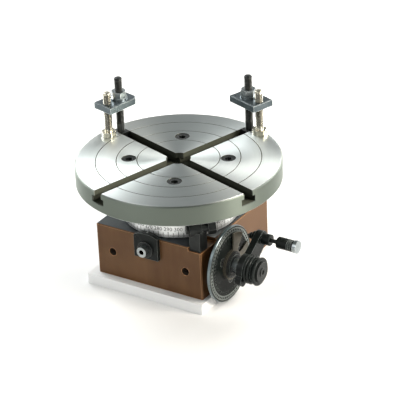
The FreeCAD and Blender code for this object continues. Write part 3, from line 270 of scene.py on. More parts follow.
def make_turning_marks():
    """Rings about the Z axis: noise of the radius alone, fine for a height, broad for bands."""
    tree, start, end = shader_group("turning_marks", [("Rings per metre", 9000.0)],
                                    [("Height", "Float"), ("Bands", "Float")])
    place = tree.add("TexCoord").outputs["Object"]
    flat = tree.add("VectorMath", {"operation": "MULTIPLY"}, i0=place, i1=(1.0, 1.0, 0.0))
    radius = tree.add("VectorMath", {"operation": "LENGTH"}, i0=flat.outputs[0]).outputs["Value"]
    fine = tree.add("TexNoise", {"noise_dimensions": "1D"}, Detail=2.0, Scale=1.0,
                    W=tree.math("MULTIPLY", radius, start.outputs[0]))
    broad = tree.add("TexNoise", {"noise_dimensions": "1D"}, Detail=2.0, Scale=1.0,
                     W=tree.math("MULTIPLY", radius, BROAD_RINGS_PER_METRE))
    tree.tree.links.new(fine.outputs[0], end.inputs[0])
    tree.tree.links.new(broad.outputs[0], end.inputs[1])
    return tree.tree


GROUPS = {"grain": make_grain(), "wear_and_edge_highlight": make_worn_edges(),
          "turning_marks": make_turning_marks()}
print("node groups:", ", ".join(GROUPS))


# %% [markdown]
# ## One recipe for painted and bare metal
# Most finishes here are a base colour, a second colour where grain patches fall, a third on sharp
# edges, partly for wear and partly a painted edge highlight, and a bump from the grain. A function
# builds that recipe; special finishes add to it afterwards. Numbers that are the same all over a
# surface are set on the shader's own sockets.

# %% Finish recipe
def effect(tree, name, **inputs):
    """Place one of the shared node groups in a tree."""
    node = tree.tree.nodes.new("ShaderNodeGroup")
    node.node_tree = GROUPS[name]
    for key, value in inputs.items():
        node.inputs[key.replace("_", " ")].default_value = value
    return node


def finish(name, colour, patch_colour, edge_wear_and_highlight_colour, metallic, roughness, spread=0.08,
           fine=2500.0, coarse=60.0, depth=0.00003, edge=0.0004, coat=0.0, **constants):
    """A metal or paint: colour in patches, lighter on edges for wear and as a painted highlight."""
    material = bpy.data.materials.new(name)
    material.use_nodes = True
    tree = Tree(material.node_tree)
    shader = material.node_tree.nodes["Principled BSDF"]
    grain = effect(tree, "grain", Fine_scale=fine, Coarse_scale=coarse)
    edge_wear_and_highlight = effect(tree, "wear_and_edge_highlight", Radius=edge)
    base = tree.mix(grain.outputs["Patches"], colour, patch_colour)
    base = tree.mix(edge_wear_and_highlight.outputs["Mask"], base, edge_wear_and_highlight_colour)
    rough = tree.math("MULTIPLY_ADD", grain.outputs["Patches"], spread, roughness)
    bump = tree.add("Bump", Height=grain.outputs["Height"], Distance=depth, Strength=0.6)
    links = material.node_tree.links
    links.new(base, shader.inputs["Base Color"])
    links.new(rough, shader.inputs["Roughness"])
    links.new(bump.outputs[0], shader.inputs["Normal"])
    shader.inputs["Metallic"].default_value = metallic
    shader.inputs["Coat Weight"].default_value = coat
    for key, value in constants.items():
        shader.inputs[key.replace("_", " ")].default_value = value
    return material, tree, shader, {"base": base, "rough": rough, "bump": bump}


# %% [markdown]
# ### Housing
# The block has a semi-gloss brown enamel over milled iron. Along its edges a lighter copper tone is
# painted, partly for enamel worn thin and partly as a painted edge highlight. A clear coat gives
# the soft sheen of enamel without making the brown itself metallic. The top is a seat for the
# table's thrust face, so it is bare ground iron, painted near black: painted shade under the table.
# The height of a point is enough to tell the two apart. On the sides the enamel has run a little as
# it dried, which noise stretched along Z gives as soft streaks. The two front holes are bored after
# painting, so their walls are bare metal, painted dark as shade inside the holes; the record says
# where they are.

# %% Inside of the two front holes
MOUNTS = {mount["name"]: mount for mount in frame["record"]["mounts"]}
front_holes = MOUNTS["front_holes"]


def in_front_holes(tree, place):
    """1 inside either bored hole: near its axis across the front face, and behind that face."""
    spacing, radius = (front_holes["dims"][key] * MM for key in ("spacing_x_mm", "hole_r_mm"))
    aside = tree.math("SUBTRACT", tree.math("ABSOLUTE", place.outputs["X"]), spacing / 2)
    above = tree.math("SUBTRACT", place.outputs["Z"], front_holes["pos_m"][2])
    apart = tree.math("SQRT", tree.math("ADD", tree.math("POWER", aside, 2.0),
                                        tree.math("POWER", above, 2.0)))
    near = tree.step(apart, radius + 0.0003, radius + 0.0001)
    behind = tree.step(place.outputs["Y"], housing_low[1] + 0.0003, housing_low[1] + 0.0008)
    return tree.math("MULTIPLY", near, behind)


# %% Housing enamel and its bare top
def housing_finish():
    """Brown enamel, and bare ground iron painted dark as shade in the top tenth of a millimetre."""
    material, tree, shader, parts = finish(
        "housing_brown", (0.122, 0.056, 0.018), (0.092, 0.040, 0.012), (0.50, 0.26, 0.12),
        metallic=0.1, roughness=0.42, fine=3200.0, coarse=30.0, depth=0.00005, edge=0.0006,
        coat=0.08, Coat_Roughness=0.25, Specular_IOR_Level=0.25)
    around = tree.add("TexCoord").outputs["Object"]
    place = tree.add("SeparateXYZ", Vector=around)
    drawn = tree.add("VectorMath", {"operation": "MULTIPLY"}, i0=around, i1=(110.0, 110.0, 14.0))
    runs = tree.add("TexNoise", Vector=drawn.outputs[0], Scale=1.0, Detail=3.0).outputs[0]
    streaks = tree.math("MULTIPLY", tree.step(runs, 0.4, 0.8), 0.22)
    brown = tree.mix(streaks, parts["base"], (0.215, 0.105, 0.040))
    # The top's near-black colour is painted shade from the table, over bare ground iron.
    seat = tree.step(place.outputs["Z"], housing_high[2] - 0.0002, housing_high[2] - 0.0001)
    colour = tree.mix(seat, brown, (0.055, 0.062, 0.066))
    # The hole walls are bare metal; their dark colour is painted shade inside the holes.
    bored = in_front_holes(tree, place)
    links = material.node_tree.links
    links.new(tree.mix(bored, colour, (0.16, 0.125, 0.095)), shader.inputs["Base Color"])
    metal = tree.math("MULTIPLY_ADD", tree.math("MAXIMUM", seat, bored), 0.6, 0.1)
    links.new(metal, shader.inputs["Metallic"])
    return material


housing_brown = housing_finish()

# %% [markdown]
# ### Table
# The face is turned on a lathe, so its tool marks are rings, and a light is drawn out across them
# into a bright fan. That is anisotropic reflection: the Tangent node gives the direction round Z,
# and a quarter turn of it makes the long axis of the highlight radial. In the slots and
# counterbores
# the colour is darkened below the face: painted shade in the recesses. The rim is a coarser, duller
# cut; by its distance from the axis its side gets a much darker colour, painted shade on the side.

# %% Turned table
def turned_table():
    """Bright turned steel; painted shade under the face inside the rim, and a darker side."""
    material, tree, shader, parts = finish(
        "table_steel", (0.66, 0.69, 0.67), (0.58, 0.615, 0.595), (0.92, 0.94, 0.92),
        metallic=1.0, roughness=0.34, spread=0.04, fine=1800.0, coarse=25.0, depth=0.00001,
        edge=0.0005, Anisotropic=0.8, Anisotropic_Rotation=0.25)
    marks = effect(tree, "turning_marks", Rings_per_metre=5200.0)
    place = tree.add("SeparateXYZ", Vector=tree.add("TexCoord").outputs["Object"])
    under = tree.step(place.outputs["Z"], table_top - 0.00006, table_top - 0.00025)
    square = tree.math("ADD", tree.math("POWER", place.outputs["X"], 2.0),
                       tree.math("POWER", place.outputs["Y"], 2.0))
    inside = tree.step(square, (table_radius - 0.0002) ** 2, (table_radius - 0.0012) ** 2)
    # The colour in the slots and counterbores is darkened below the face: painted shade in
    # recesses.
    recess_painted_shade = tree.math("MULTIPLY", under, inside)
    rim = tree.math("MULTIPLY", tree.math("SUBTRACT", 1.0, inside), under)
    above = tree.step(place.outputs["Z"], table_low[2] + 0.0001, table_low[2] + 0.0008)
    recess_painted_shade = tree.math("MULTIPLY", recess_painted_shade, above)
    banded = tree.mix(tree.math("MULTIPLY", marks.outputs["Bands"], 0.35), parts["base"],
                      (0.50, 0.54, 0.52))
    links = material.node_tree.links
    # The table's side gets a much darker colour than the face: painted shade on the side.
    banded = tree.mix(rim, banded, (0.175, 0.20, 0.17))
    links.new(tree.mix(recess_painted_shade, banded, (0.085, 0.09, 0.068)), shader.inputs["Base Color"])
    dull = tree.math("MULTIPLY_ADD", rim, 0.14, parts["rough"])
    links.new(tree.math("MULTIPLY_ADD", recess_painted_shade, 0.25, dull), shader.inputs["Roughness"])
    ripple = tree.add("Bump", Height=marks.outputs["Height"], Distance=0.000006, Strength=0.5,
                      Normal=parts["bump"].outputs[0])
    links.new(ripple.outputs[0], shader.inputs["Normal"])
    around = tree.add("Tangent", {"direction_type": "RADIAL", "axis": "Z"})
    links.new(around.outputs[0], shader.inputs["Tangent"])
    return material


table_steel = turned_table()

# %% [markdown]
# ### Bright and dark metals
# The rest of the bare metal is the same recipe with other numbers: satin chrome for the scale,
# ground steel for shafts, zinc for the jack screws, a milled blue-grey for the straps, a warm grey
# for the two sector arms, oiled black oxide for screws, gloss black for the crank and its knob,
# and bronze for what runs inside the housing.

# %% Other metals
scale_satin, *_ = finish(
    "scale_satin", (0.86, 0.87, 0.86), (0.80, 0.81, 0.80), (0.95, 0.95, 0.95), metallic=0.6,
    roughness=0.38, fine=2400.0, coarse=45.0, depth=0.00001)
bright_steel, *_ = finish(
    "bright_steel", (0.37, 0.405, 0.41), (0.29, 0.32, 0.325), (0.84, 0.87, 0.86), metallic=1.0,
    roughness=0.24, fine=2800.0, coarse=80.0, depth=0.00001, edge=0.0003)
dark_steel, *dark_parts = finish(
    "dark_steel", (0.020, 0.022, 0.021), (0.013, 0.015, 0.014), (0.17, 0.18, 0.17), metallic=0.6,
    roughness=0.34, fine=2600.0, coarse=120.0, depth=0.00002, edge=0.0003)
# The pale edge colour on this black is mostly a painted highlight along rims and flanges.
black_steel, *_ = finish(
    "black_steel", (0.007, 0.009, 0.008), (0.011, 0.013, 0.012), (0.22, 0.25, 0.235),
    metallic=0.0, roughness=0.24, fine=1500.0, coarse=70.0, depth=0.00001, edge=0.0003,
    coat=0.02, Coat_Roughness=0.06, Specular_IOR_Level=0.12)
strap_steel, *_ = finish(
    "strap_steel", (0.12, 0.145, 0.155), (0.085, 0.105, 0.115), (0.74, 0.80, 0.80), metallic=0.85,
    roughness=0.27, fine=2200.0, coarse=90.0, depth=0.00003, edge=0.0005)
jack_steel, *jack_parts = finish(
    "jack_steel", (0.66, 0.62, 0.50), (0.56, 0.525, 0.42), (0.90, 0.88, 0.80), metallic=1.0,
    roughness=0.22, fine=2600.0, coarse=100.0, depth=0.00001, edge=0.0003)
sector_steel, *_ = finish(
    "sector_steel", (0.13, 0.115, 0.085), (0.085, 0.077, 0.058), (0.42, 0.40, 0.33), metallic=0.8,
    roughness=0.33, fine=2200.0, coarse=120.0, depth=0.00002, edge=0.0003)
bronze, *_ = finish(
    "bronze", (0.62, 0.38, 0.14), (0.52, 0.30, 0.10), (0.85, 0.60, 0.30), metallic=1.0,
    roughness=0.30, fine=2600.0, coarse=90.0, depth=0.00001)

# %% [markdown]
# The roots of a thread are painted dark, as painted shade in its groove. The threaded pieces
# below carry a number for each point, 0 at the crest and 1 at the root, in an attribute, and two
# of the metals darken by it.
# Solids without that attribute read 0, so the same metal serves them too.

# %% Painted shade in thread roots
def darken_roots(tree, shader, parts):
    """Mix the base colour towards black by the mesh's own root attribute: painted shade in the
    roots.
    """
    root = tree.add("Attribute", {"attribute_name": "root"}).outputs["Fac"]
    dark = tree.mix(tree.math("MULTIPLY", root, 0.9), parts["base"], (0.02, 0.019, 0.015))
    tree.tree.links.new(dark, shader.inputs["Base Color"])


darken_roots(*jack_parts)
darken_roots(*dark_parts)

# %% [markdown]
# ### Hole plate
# The plate is gloss black, but the land that carries the index holes is left bare, because paint
# there would wear off under the plunger and clog the holes, and so is the turned edge. Both are
# therefore masks of the distance from the worm's axis, not second meshes.

# %% Hole plate with its bare land
def plate_finish():
    """Gloss black, with a bare land between two radii and a bare rim; black in its holes."""
    # The pale edge colour on the black plate is a painted highlight along its rims.
    material, tree, shader, parts = finish(
        "plate_black", (0.006, 0.008, 0.007), (0.009, 0.011, 0.010), (0.30, 0.33, 0.31),
        metallic=0.0, roughness=0.24, fine=1500.0, coarse=70.0, depth=0.00001, edge=0.00025,
        Specular_IOR_Level=0.06, Anisotropic=0.8, Anisotropic_Rotation=0.25)
    place = tree.add("TexCoord").outputs["Object"]
    from_axis = tree.add("VectorMath", {"operation": "SUBTRACT"}, i0=place, i1=tuple(worm_axis))
    across = tree.add("VectorMath", {"operation": "MULTIPLY"}, i0=from_axis.outputs[0],
                      i1=(0.0, 1.0, 1.0))
    radius = tree.add("VectorMath", {"operation": "LENGTH"}, i0=across.outputs[0]).outputs["Value"]
    soft, inner, outer, rim = (share * plate_radius for share in (0.01, 0.83, 0.955, 0.983))
    land = tree.math("MULTIPLY", tree.step(radius, inner, inner + soft),
                     tree.step(radius, outer, outer - soft))
    depth = tree.add("SeparateXYZ", Vector=place).outputs["X"]
    face = tree.step(depth, plate_high[0] - 0.0003, plate_high[0] - 0.00005)
    land = tree.math("MULTIPLY", land, face)
    links = material.node_tree.links
    edge = tree.step(radius, rim, rim + soft)
    colour = tree.mix(land, parts["base"], (0.22, 0.24, 0.225))
    links.new(tree.mix(edge, colour, (0.17, 0.205, 0.215)), shader.inputs["Base Color"])
    around = tree.add("Tangent", {"direction_type": "RADIAL", "axis": "X"})
    links.new(around.outputs[0], shader.inputs["Tangent"])
    links.new(tree.math("MAXIMUM", land, edge), shader.inputs["Metallic"])
    links.new(tree.math("MULTIPLY_ADD", land, 0.12, parts["rough"]), shader.inputs["Roughness"])
    return material


plate_black = plate_finish()

# %% [markdown]
# ### Socket screw
# The screw of the zero-mark plate is ground bright, and the hexagon sunk in its head is painted
# black: painted shade in the socket. Depth behind the head's face, near the axis, finds it.

# %% Bright screw with a black socket
def socket_finish():
    """Bright steel; black within half the head's radius and behind its face."""
    material, tree, shader, parts = finish(
        "screw_bright", (0.40, 0.43, 0.43), (0.32, 0.35, 0.35), (0.90, 0.92, 0.91), metallic=1.0,
        roughness=0.26, fine=2800.0, coarse=120.0, depth=0.00001, edge=0.0003)
    low, high = low_high("index_plate_screw")
    centre, radius = (low + high) / 2 * [1, 0, 1], (high[0] - low[0]) / 2
    place = tree.add("TexCoord").outputs["Object"]
    across = tree.add("VectorMath", {"operation": "MULTIPLY"}, i0=place, i1=(1.0, 0.0, 1.0))
    apart = tree.add("VectorMath", {"operation": "DISTANCE"}, i0=across.outputs[0],
                     i1=tuple(centre)).outputs["Value"]
    behind = tree.add("SeparateXYZ", Vector=place).outputs["Y"]
    deep = tree.step(behind, low[1] + 0.0001, low[1] + 0.0005)
    # Black in the socket: painted shade in the recess.
    socket = tree.math("MULTIPLY", deep, tree.step(apart, 0.66 * radius, 0.60 * radius))
    links = material.node_tree.links
    links.new(tree.mix(socket, parts["base"], (0.006, 0.006, 0.006)),
              shader.inputs["Base Color"])
    return material


screw_bright = socket_finish()

# %% [markdown]
# ## Put a finish on every solid
# The record names a material slot for each solid. Most solids take the finish of their slot, and
# a few take another, because their surface differs from the rest of the slot.

# %% Assign the finishes
SLOTS = {"housing_brown": housing_brown, "table_steel": table_steel, "scale_satin": scale_satin,
         "bright_steel": bright_steel, "dark_steel": dark_steel, "black_steel": black_steel,
         "strap_steel": strap_steel, "jack_steel": jack_steel, "bronze": bronze}
slot_of = {part["node"]: part["material_slot"] for part in frame["record"]["subparts"]}
own_finish = {"dividing_plate": plate_black, "index_plate_screw": screw_bright,
              "index_pin": dark_steel,
              "sector_front_arm": sector_steel, "sector_rear_arm": sector_steel,
              "sector_spring": dark_steel, "sector_snap_ring": dark_steel,
              "plate_carrier": black_steel, "plate_screws": dark_steel}
for name, solid in nodes.items():
    material = own_finish.get(name, SLOTS[slot_of[name]])
    solid.data.materials.clear()
    solid.data.materials.append(material)
used = {solid.data.materials[0].name for solid in nodes.values()}
print(f"{len(nodes)} solids finished with {len(used)} materials")

# %% [markdown]
# ## The graduated ring
# The scale is engraved: 360 short lines, longer at every fifth degree and longest at every tenth,
# with a numeral at each tenth. Engraving is far too fine for a bump map at this distance, so each
# line is a thin patch that follows the ring, a hair's breadth proud of it, filled black. A patch is
# a grid of two by three points on a cylinder, and all lines are computed at once.

# %% Ink and scale lines
ink, *_ = finish("scale_ink", (0.012, 0.012, 0.012), (0.02, 0.02, 0.02), (0.03, 0.03, 0.03),
                 metallic=0.0, roughness=0.45, depth=0.000005)
INK_LIFT = 0.00003
LINE_FOOT, TEN_LENGTH, FIVE_LENGTH, ONE_LENGTH = 0.0003, 0.0046, 0.0036, 0.0022
BOLD_HALF, FINE_HALF = 0.00022, 0.00013


def on_ring(angle, height):
    """Points on the ring: angle in radians about Z, height above the ring's lower edge."""
    radius = ring_radius + INK_LIFT
    return np.stack([radius * np.cos(angle), radius * np.sin(angle),
                     ring_low[2] + height + 0.0 * angle], -1)


def scale_lines():
    """One patch per degree, up from the ring's lower edge; its length depends on the degree."""
    degree = np.arange(360)
    length = np.where(degree % 10 == 0, TEN_LENGTH,
                      np.where(degree % 5 == 0, FIVE_LENGTH, ONE_LENGTH))
    half = np.where(degree % 5 == 0, BOLD_HALF, FINE_HALF) / ring_radius
    side = np.array([-1.0, 0.0, 1.0])
    angle = np.radians(degree)[:, None, None] + side[None, None, :] * half[:, None, None]
    angle = np.repeat(angle, 2, axis=1)
    height = np.stack([np.full(360, LINE_FOOT), length], 1)[:, :, None]
    points = on_ring(angle, height).reshape(-1, 3)
    corner = np.array([[0, 1, 4, 3], [1, 2, 5, 4]])
    faces = (6 * degree[:, None, None] + corner[None]).reshape(-1, 4)
    return points, faces


points, faces = scale_lines()
add_piece("scale_lines", points, faces, "table", ink, smooth=False)


# %% [markdown]
# The numerals are Blender text turned into a mesh and then wrapped: the text's x becomes an angle
# round the ring and its y a height. Only plain numbers appear, as on any graduated dial.

# %% Numerals
NUMERAL_HEIGHT, NUMERAL_FOOT = 0.0030, 0.0051
CAPITAL_SHARE = 0.72


def flat_text(words, height):
    """Points and faces of a line of text, centred on x, standing on y = 0."""
    curve = bpy.data.curves.new("numeral", "FONT")
    curve.body = words
    curve.size = height / CAPITAL_SHARE
    curve.align_x = "CENTER"
    curve.resolution_u = 2
    holder = bpy.data.objects.new("numeral", curve)
    bpy.context.scene.collection.objects.link(holder)
    bpy.context.view_layer.update()
    mesh = bpy.data.meshes.new_from_object(
        holder.evaluated_get(bpy.context.evaluated_depsgraph_get()))
    points = np.array([v.co for v in mesh.vertices])
    faces = [list(p.vertices) for p in mesh.polygons]
    bpy.data.objects.remove(holder)
    bpy.data.meshes.remove(mesh)
    bpy.data.curves.remove(curve)
    return points, faces


def ring_numerals():
    """A number at every tenth degree, wrapped round the ring above its line."""
    all_points, all_faces, count = [], [], 0
    for degree in range(0, 360, 10):
        flat, faces = flat_text(str(degree), NUMERAL_HEIGHT)
        angle = math.radians(degree) + flat[:, 0] / ring_radius
        all_points.append(on_ring(angle, NUMERAL_FOOT + flat[:, 1]))
        all_faces += [[i + count for i in face] for face in faces]
        count += len(flat)
    return np.concatenate(all_points), all_faces


points, faces = ring_numerals()
add_piece("scale_numerals", points, faces, "table", ink, smooth=False)

# %% [markdown]
# The zero mark is one white line down the middle of the little arched plate on the front, where
# the eye reads the scale against it.

# %% Zero mark
white_paint, *_ = finish("white_paint", (0.78, 0.78, 0.74), (0.70, 0.70, 0.66),
                         (0.85, 0.85, 0.82), metallic=0.0, roughness=0.5)
arch_high = low_high("index_plate")[1]
MARK_WIDTH, MARK_LENGTH, MARK_INSET = 0.0005, 0.0022, 0.0003


def zero_mark():
    """A closed sliver let into the plate's top face, proud of it by the ink's thickness."""
    x = np.array([-1, 1, 1, -1]) * MARK_WIDTH / 2
    y = arch_high[1] - MARK_INSET - MARK_LENGTH * np.array([1, 1, 0, 0])
    low = np.stack([x, y, np.full(4, arch_high[2] - MARK_INSET)], -1)
    return np.concatenate([low, low + [0, 0, MARK_INSET + INK_LIFT]])


box_faces = [[3, 2, 1, 0], [4, 5, 6, 7], [0, 1, 5, 4], [1, 2, 6, 5], [2, 3, 7, 6], [3, 0, 4, 7]]
add_piece("zero_mark", zero_mark(), box_faces, "housing", white_paint, False)


# %% [markdown]
# ## Threads, points and grips
# A turned part is a profile carried round an axis. One function does that for the knob, the
# sleeve and the grip, whose axes all run along X: it takes stations along the axis with a radius
# at each, and closes each end with one flat face. All three are gloss black.

# %% Turning a profile
def closed_tube(rows, columns):
    """The faces of a ringed grid, with one more over each end ring, facing outwards."""
    first = list(range(columns))[::-1]
    last = list(range((rows - 1) * columns, rows * columns))
    return grid_faces(rows, columns) + [first, last]


def turned_piece(name, stations, axis, body, count=48):
    """Carry (distance, radius) stations round an axis: (x, y, z) = a + (d, r cos t, r sin t)."""
    distance, radius = np.array(stations, float).T[:, :, None]
    angle = np.linspace(0, 2 * np.pi, count, endpoint=False)[None, :]
    points = axis + np.stack([distance + 0 * angle, radius * np.cos(angle),
                              radius * np.sin(angle)], -1)
    return add_piece(name, points.reshape(-1, 3), closed_tube(len(stations), count), body,
                     black_steel)


def arc_stations(centre, radius, start, end, steps=6):
    """Stations along an arc, in degrees: (d, r) = centre + radius*(cos a, sin a)."""
    a = np.radians(np.linspace(start, end, steps))
    return [(centre[0] + radius * math.cos(t), centre[1] + radius * math.sin(t)) for t in a]


# %% [markdown]
# ### Crank knob
# The knob has three rounded flanges with a waist between each, so that fingers find it without
# looking: one at either end and one a third of the way along. Each flange is edged with a half
# circle.

# %% Crank knob
knob_low, knob_high = low_high("crank_knob")
knob_radius = (knob_high[2] - knob_low[2]) / 2
FLANGE_SHARE, WAIST_SHARE, STEP_WIDTH = 0.11, 0.8, 0.0002


def knob_profile(start, end):
    """Flange, waist, flange, waist, flange; the flanges' half circles reach the full radius."""
    edge, waist, third = FLANGE_SHARE * knob_radius, WAIST_SHARE * knob_radius, (end - start) / 3
    flanges = []
    for middle in (start + edge, start + third + edge / 2, end - edge):
        flanges += arc_stations((middle, knob_radius - edge), edge, 180, 0, 9)
        flanges += [(middle + edge, waist), (middle + edge + STEP_WIDTH, waist)]
    return [(start, waist)] + flanges[:-2] + [(end, waist)]


knob = turned_piece("knob", knob_profile(knob_low[0], knob_high[0]), worm_axis, "crank", count=72)
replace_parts(knob, "crank_knob")

# %% [markdown]
# ### Plunger
# The index pin slides in a sleeve that tapers to a nose beside the hole plate. Beyond the arm it
# ends in a grip with three shallow grooves before the bright cap. Grip and cap move with the pin,
# and the sleeve with the crank. The gap between them is the pin's stroke, so it stays open.

# %% Plunger sleeve and grip
grip_low, grip_high = low_high("plunger_grip")
sleeve_low, sleeve_high = low_high("plunger_sleeve")
pin_low = low_high("index_pin")[0]
plunger_axis = (grip_low + grip_high) / 2 * [0, 1, 1]
grip_radius = (grip_high[1] - grip_low[1]) / 2
sleeve_radius = (sleeve_high[1] - sleeve_low[1]) / 2
NOSE_GAP, SLEEVE_ROUND, GRIP_ROUND = 0.0015, 0.0005, 0.0007
GROOVES_FROM_END, GROOVE_SPACING, GROOVE_RADIUS = 0.0044, 0.0015, 0.0005


def sleeve_profile():
    """A nose that swells to the sleeve's radius, then a plain barrel with a rounded end."""
    nose = pin_low[0] + NOSE_GAP
    stations = [(nose, 0.5 * sleeve_radius)]
    stations += [(nose + 0.0004, 0.58 * sleeve_radius), (nose + 0.0022, 0.62 * sleeve_radius)]
    stations += [(sleeve_low[0] - 0.0012, 0.93 * sleeve_radius), (sleeve_low[0], sleeve_radius)]
    stations += arc_stations((sleeve_high[0] - SLEEVE_ROUND, sleeve_radius - SLEEVE_ROUND),
                             SLEEVE_ROUND, 90, 0)
    return stations


def grip_profile():
    """Rounded shoulders, a plain barrel, and grooves near the outer end, each part of a circle."""
    start, end, shoulder = grip_low[0], grip_high[0], grip_radius - GRIP_ROUND
    stations = [(start, 0.75 * grip_radius)]
    stations += arc_stations((start + GRIP_ROUND, shoulder), GRIP_ROUND, 180, 90)
    for k in range(3):
        middle = end - GROOVES_FROM_END + GROOVE_SPACING * k
        stations += arc_stations((middle, grip_radius + 0.00012), GROOVE_RADIUS, 195, 345, 7)
    stations += arc_stations((end - GRIP_ROUND, shoulder), GRIP_ROUND, 90, 0)
    return stations


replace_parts(turned_piece("sleeve", sleeve_profile(), plunger_axis, "crank"), "plunger_sleeve")
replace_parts(turned_piece("grip", grip_profile(), plunger_axis, "plunger"), "plunger_grip")

# %% [markdown]
# ### Threads
# A screw thread is one surface: a radius that depends on height and on the angle round the axis.
# A stud is threaded as far down as its strap can travel, and a jack screw down to its foot.
# The height measured in pitches, less the turn already made, gives the place within one thread,
# and a triangle wave of it gives the depth. The wave fades to nothing where the thread ends. A
# hexagonal foot is the same kind of surface, whose radius is apothem / cos(angle from the middle
# of the flat).

# %% Thread surface
PITCH, THREAD_DEPTH, ROWS_PER_PITCH, COLUMNS = 0.001, 0.00055, 7, 42
POINT_HEIGHT, POINT_SHARE = 0.0011, 0.6
FOOT_HEIGHT, FOOT_TURN_DOWN, CORNER_SHARE = 0.004, 0.0003, 1.11
STRAP_TRAVEL = 0.015
stud_low, stud_high = low_high("left_stud")
rod_radius = (stud_high[0] - stud_low[0]) / 2


def foot_shape(node):
    """Apothem of a hexagonal foot and the angle of one corner: the point farthest out."""
    low, high = low_high(node)
    corners = np.array([v.co for v in nodes[node].data.vertices])[:, :2] - (low + high)[:2] / 2
    farthest = corners[np.hypot(*corners.T).argmax()]
    return np.hypot(*farthest) * math.cos(math.pi / 6), math.atan2(farthest[1], farthest[0])


def hexagon_radius(angle, apothem):
    """apothem / cos(angle from the middle of the flat), its corners turned down a little."""
    from_middle = angle % (math.pi / 3) - math.pi / 6
    return np.minimum(apothem / np.cos(from_middle), CORNER_SHARE * apothem)


def threaded_piece(name, node, body, thread_start, foot=0.0):
    """r(z, t) = rod - depth * |2 frac(z / pitch - t / 2 pi) - 1|, on a hexagonal foot if given."""
    low, high = low_high(node)
    centre, shoulder = (low + high) / 2 * [1, 1, 0], high[2] - POINT_HEIGHT
    apothem, corner = foot_shape(node)
    angle = np.linspace(0, 2 * np.pi, COLUMNS, endpoint=False)[None, :]
    over = np.linspace(0, np.pi / 2, 6)[1:]
    plain = [low[2] + foot] if foot else [low[2], thread_start]
    thread = np.arange(thread_start + PITCH / ROWS_PER_PITCH, shoulder, PITCH / ROWS_PER_PITCH)
    point = shoulder + POINT_HEIGHT * np.sin(over)
    z = np.concatenate([plain, thread, [shoulder], point])[:, None]
    wave = np.abs(2 * ((z / PITCH - angle / (2 * np.pi)) % 1.0) - 1)
    fade = np.clip(np.minimum(z - thread_start, shoulder - z) / PITCH, 0, 1)
    narrow = np.concatenate([np.ones(len(z) - len(over)), np.cos(over)])[:, None]
    radius = (rod_radius - THREAD_DEPTH * wave * fade) * (POINT_SHARE + (1 - POINT_SHARE) * narrow)
    if foot:
        levels = low[2] + np.array([0, FOOT_TURN_DOWN, foot - FOOT_TURN_DOWN, foot])
        z = np.concatenate([levels[:, None], z])
        insets = np.array([FOOT_TURN_DOWN, 0, 0, FOOT_TURN_DOWN])[:, None]
        radius = np.concatenate([hexagon_radius(angle, apothem) - insets, radius])
    turned = angle + corner
    points = centre + np.stack([radius * np.cos(turned), radius * np.sin(turned),
                                z + 0 * turned], -1)
    piece = add_piece(name, points.reshape(-1, 3), closed_tube(len(z), COLUMNS), body,
                      SLOTS[slot_of[node]])
    root = np.zeros((len(z), COLUMNS))
    root[-len(wave):] = wave * fade
    attribute = piece.data.attributes.new("root", "FLOAT", "POINT")
    attribute.data.foreach_set("value", root.ravel().astype(np.float32))
    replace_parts(piece, node)


for side in ("left", "right"):
    strap_low = low_high(side + "_strap")[0]
    threaded_piece(side + "_threaded_stud", side + "_stud", side + "_clamp",
                   strap_low[2] - STRAP_TRAVEL)
    threaded_piece(side + "_threaded_jack", side + "_jack_screw", side + "_jack",
                   table_top + FOOT_HEIGHT + PITCH, foot=FOOT_HEIGHT)

# %% [markdown]
# ## Floor and light
# The head hangs its hole plate below its own base, so it stands on a small pale plinth. Floor and
# plinth are plain. One large lamp behind on the left and one straight behind draw the bright fans
# across the turned table. A third on the right lights the hole plate's side, and a weak one in
# front keeps the enamel readable. The sky fills the rest: it is pale low down, where side views
# look into it, and grey overhead, so that the table's face has contrast.

# %% Floor and plinth
def plain_floor():
    """A matt pale material with a trace of unevenness."""
    material = bpy.data.materials.new("floor_pale")
    material.use_nodes = True
    tree = Tree(material.node_tree)
    shader = material.node_tree.nodes["Principled BSDF"]
    cloud = tree.add("TexNoise", Vector=tree.add("TexCoord").outputs["Object"], Scale=3.0)
    colour = tree.mix(cloud.outputs[0], (0.80, 0.80, 0.79), (0.84, 0.84, 0.83))
    material.node_tree.links.new(colour, shader.inputs["Base Color"])
    shader.inputs["Roughness"].default_value = 0.9
    return material


floor_pale = plain_floor()
FLOOR_LEVEL = cad_low.z - 0.0005


def stage_box(name, low, high):
    """A plain box that isn't part of the object."""
    low, high = np.array(low), np.array(high)
    corner = np.array([[0, 0, 0], [1, 0, 0], [1, 1, 0], [0, 1, 0],
                       [0, 0, 1], [1, 0, 1], [1, 1, 1], [0, 1, 1]])
    mesh = bpy.data.meshes.new(name)
    mesh.from_pydata((low + corner * (high - low)).tolist(), [], box_faces)
    mesh.materials.append(floor_pale)
    box = bpy.data.objects.new(name, mesh)
    bpy.context.scene.collection.objects.link(box)


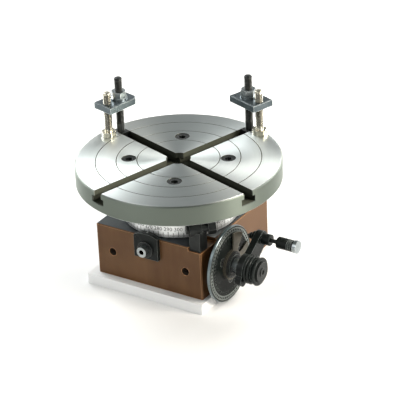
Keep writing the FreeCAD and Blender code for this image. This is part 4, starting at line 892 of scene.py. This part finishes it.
stage_box("floor", (-4, -4, FLOOR_LEVEL - 0.01), (4, 4, FLOOR_LEVEL))
PLINTH_MARGIN, PLATE_ROOM = 0.006, 0.003
stage_box("plinth", (housing_low[0] - PLINTH_MARGIN, housing_low[1] - PLINTH_MARGIN, FLOOR_LEVEL),
          (housing_high[0] + PLATE_ROOM, housing_high[1] + PLINTH_MARGIN, -0.00005))


# %% Lamps and sky
def lamp(name, azimuth, elevation, distance, width, height, power, colour=(1, 1, 1)):
    """A rectangular lamp aimed at the table from a direction, in degrees."""
    light = bpy.data.lights.new(name, "AREA")
    light.shape = "RECTANGLE"
    light.size, light.size_y = width, height
    light.energy = power
    light.color = colour
    a, e = math.radians(azimuth), math.radians(elevation)
    back = Vector((math.sin(a) * math.cos(e), -math.cos(a) * math.cos(e), math.sin(e)))
    holder = bpy.data.objects.new(name, light)
    holder.location = Vector((0, 0, table_top)) + distance * back
    holder.rotation_mode = "QUATERNION"
    holder.rotation_quaternion = back.to_track_quat("Z", "Y")
    bpy.context.scene.collection.objects.link(holder)


lamp("back_left", -115, 30, 1.6, 0.9, 0.8, 24, (0.97, 0.99, 1.0))
lamp("back_right", 175, 30, 1.6, 0.8, 0.8, 22, (1.0, 0.98, 0.95))
lamp("right_side", 98, 30, 1.5, 0.6, 0.6, 27, (1.0, 0.94, 0.86))
lamp("front_fill", -20, 40, 1.8, 1.0, 1.0, 8)


def sky():
    """Pale near the horizon and grey overhead, by the height of the direction looked in."""
    world = bpy.data.worlds.new("studio")
    bpy.context.scene.world = world
    world.use_nodes = True
    tree = Tree(world.node_tree)
    world.node_tree.nodes.clear()
    look = tree.add("TexCoord").outputs["Generated"]
    height = tree.add("SeparateXYZ", Vector=look).outputs["Z"]
    colour = tree.mix(tree.step(height, 0.12, 0.45), (0.93, 0.94, 0.94), (0.20, 0.215, 0.22))
    glow = tree.add("Background", Color=colour, Strength=1.0)
    out = tree.add("OutputWorld")
    world.node_tree.links.new(glow.outputs[0], out.inputs["Surface"])


sky()
print("floor, plinth, four lamps and sky in place")
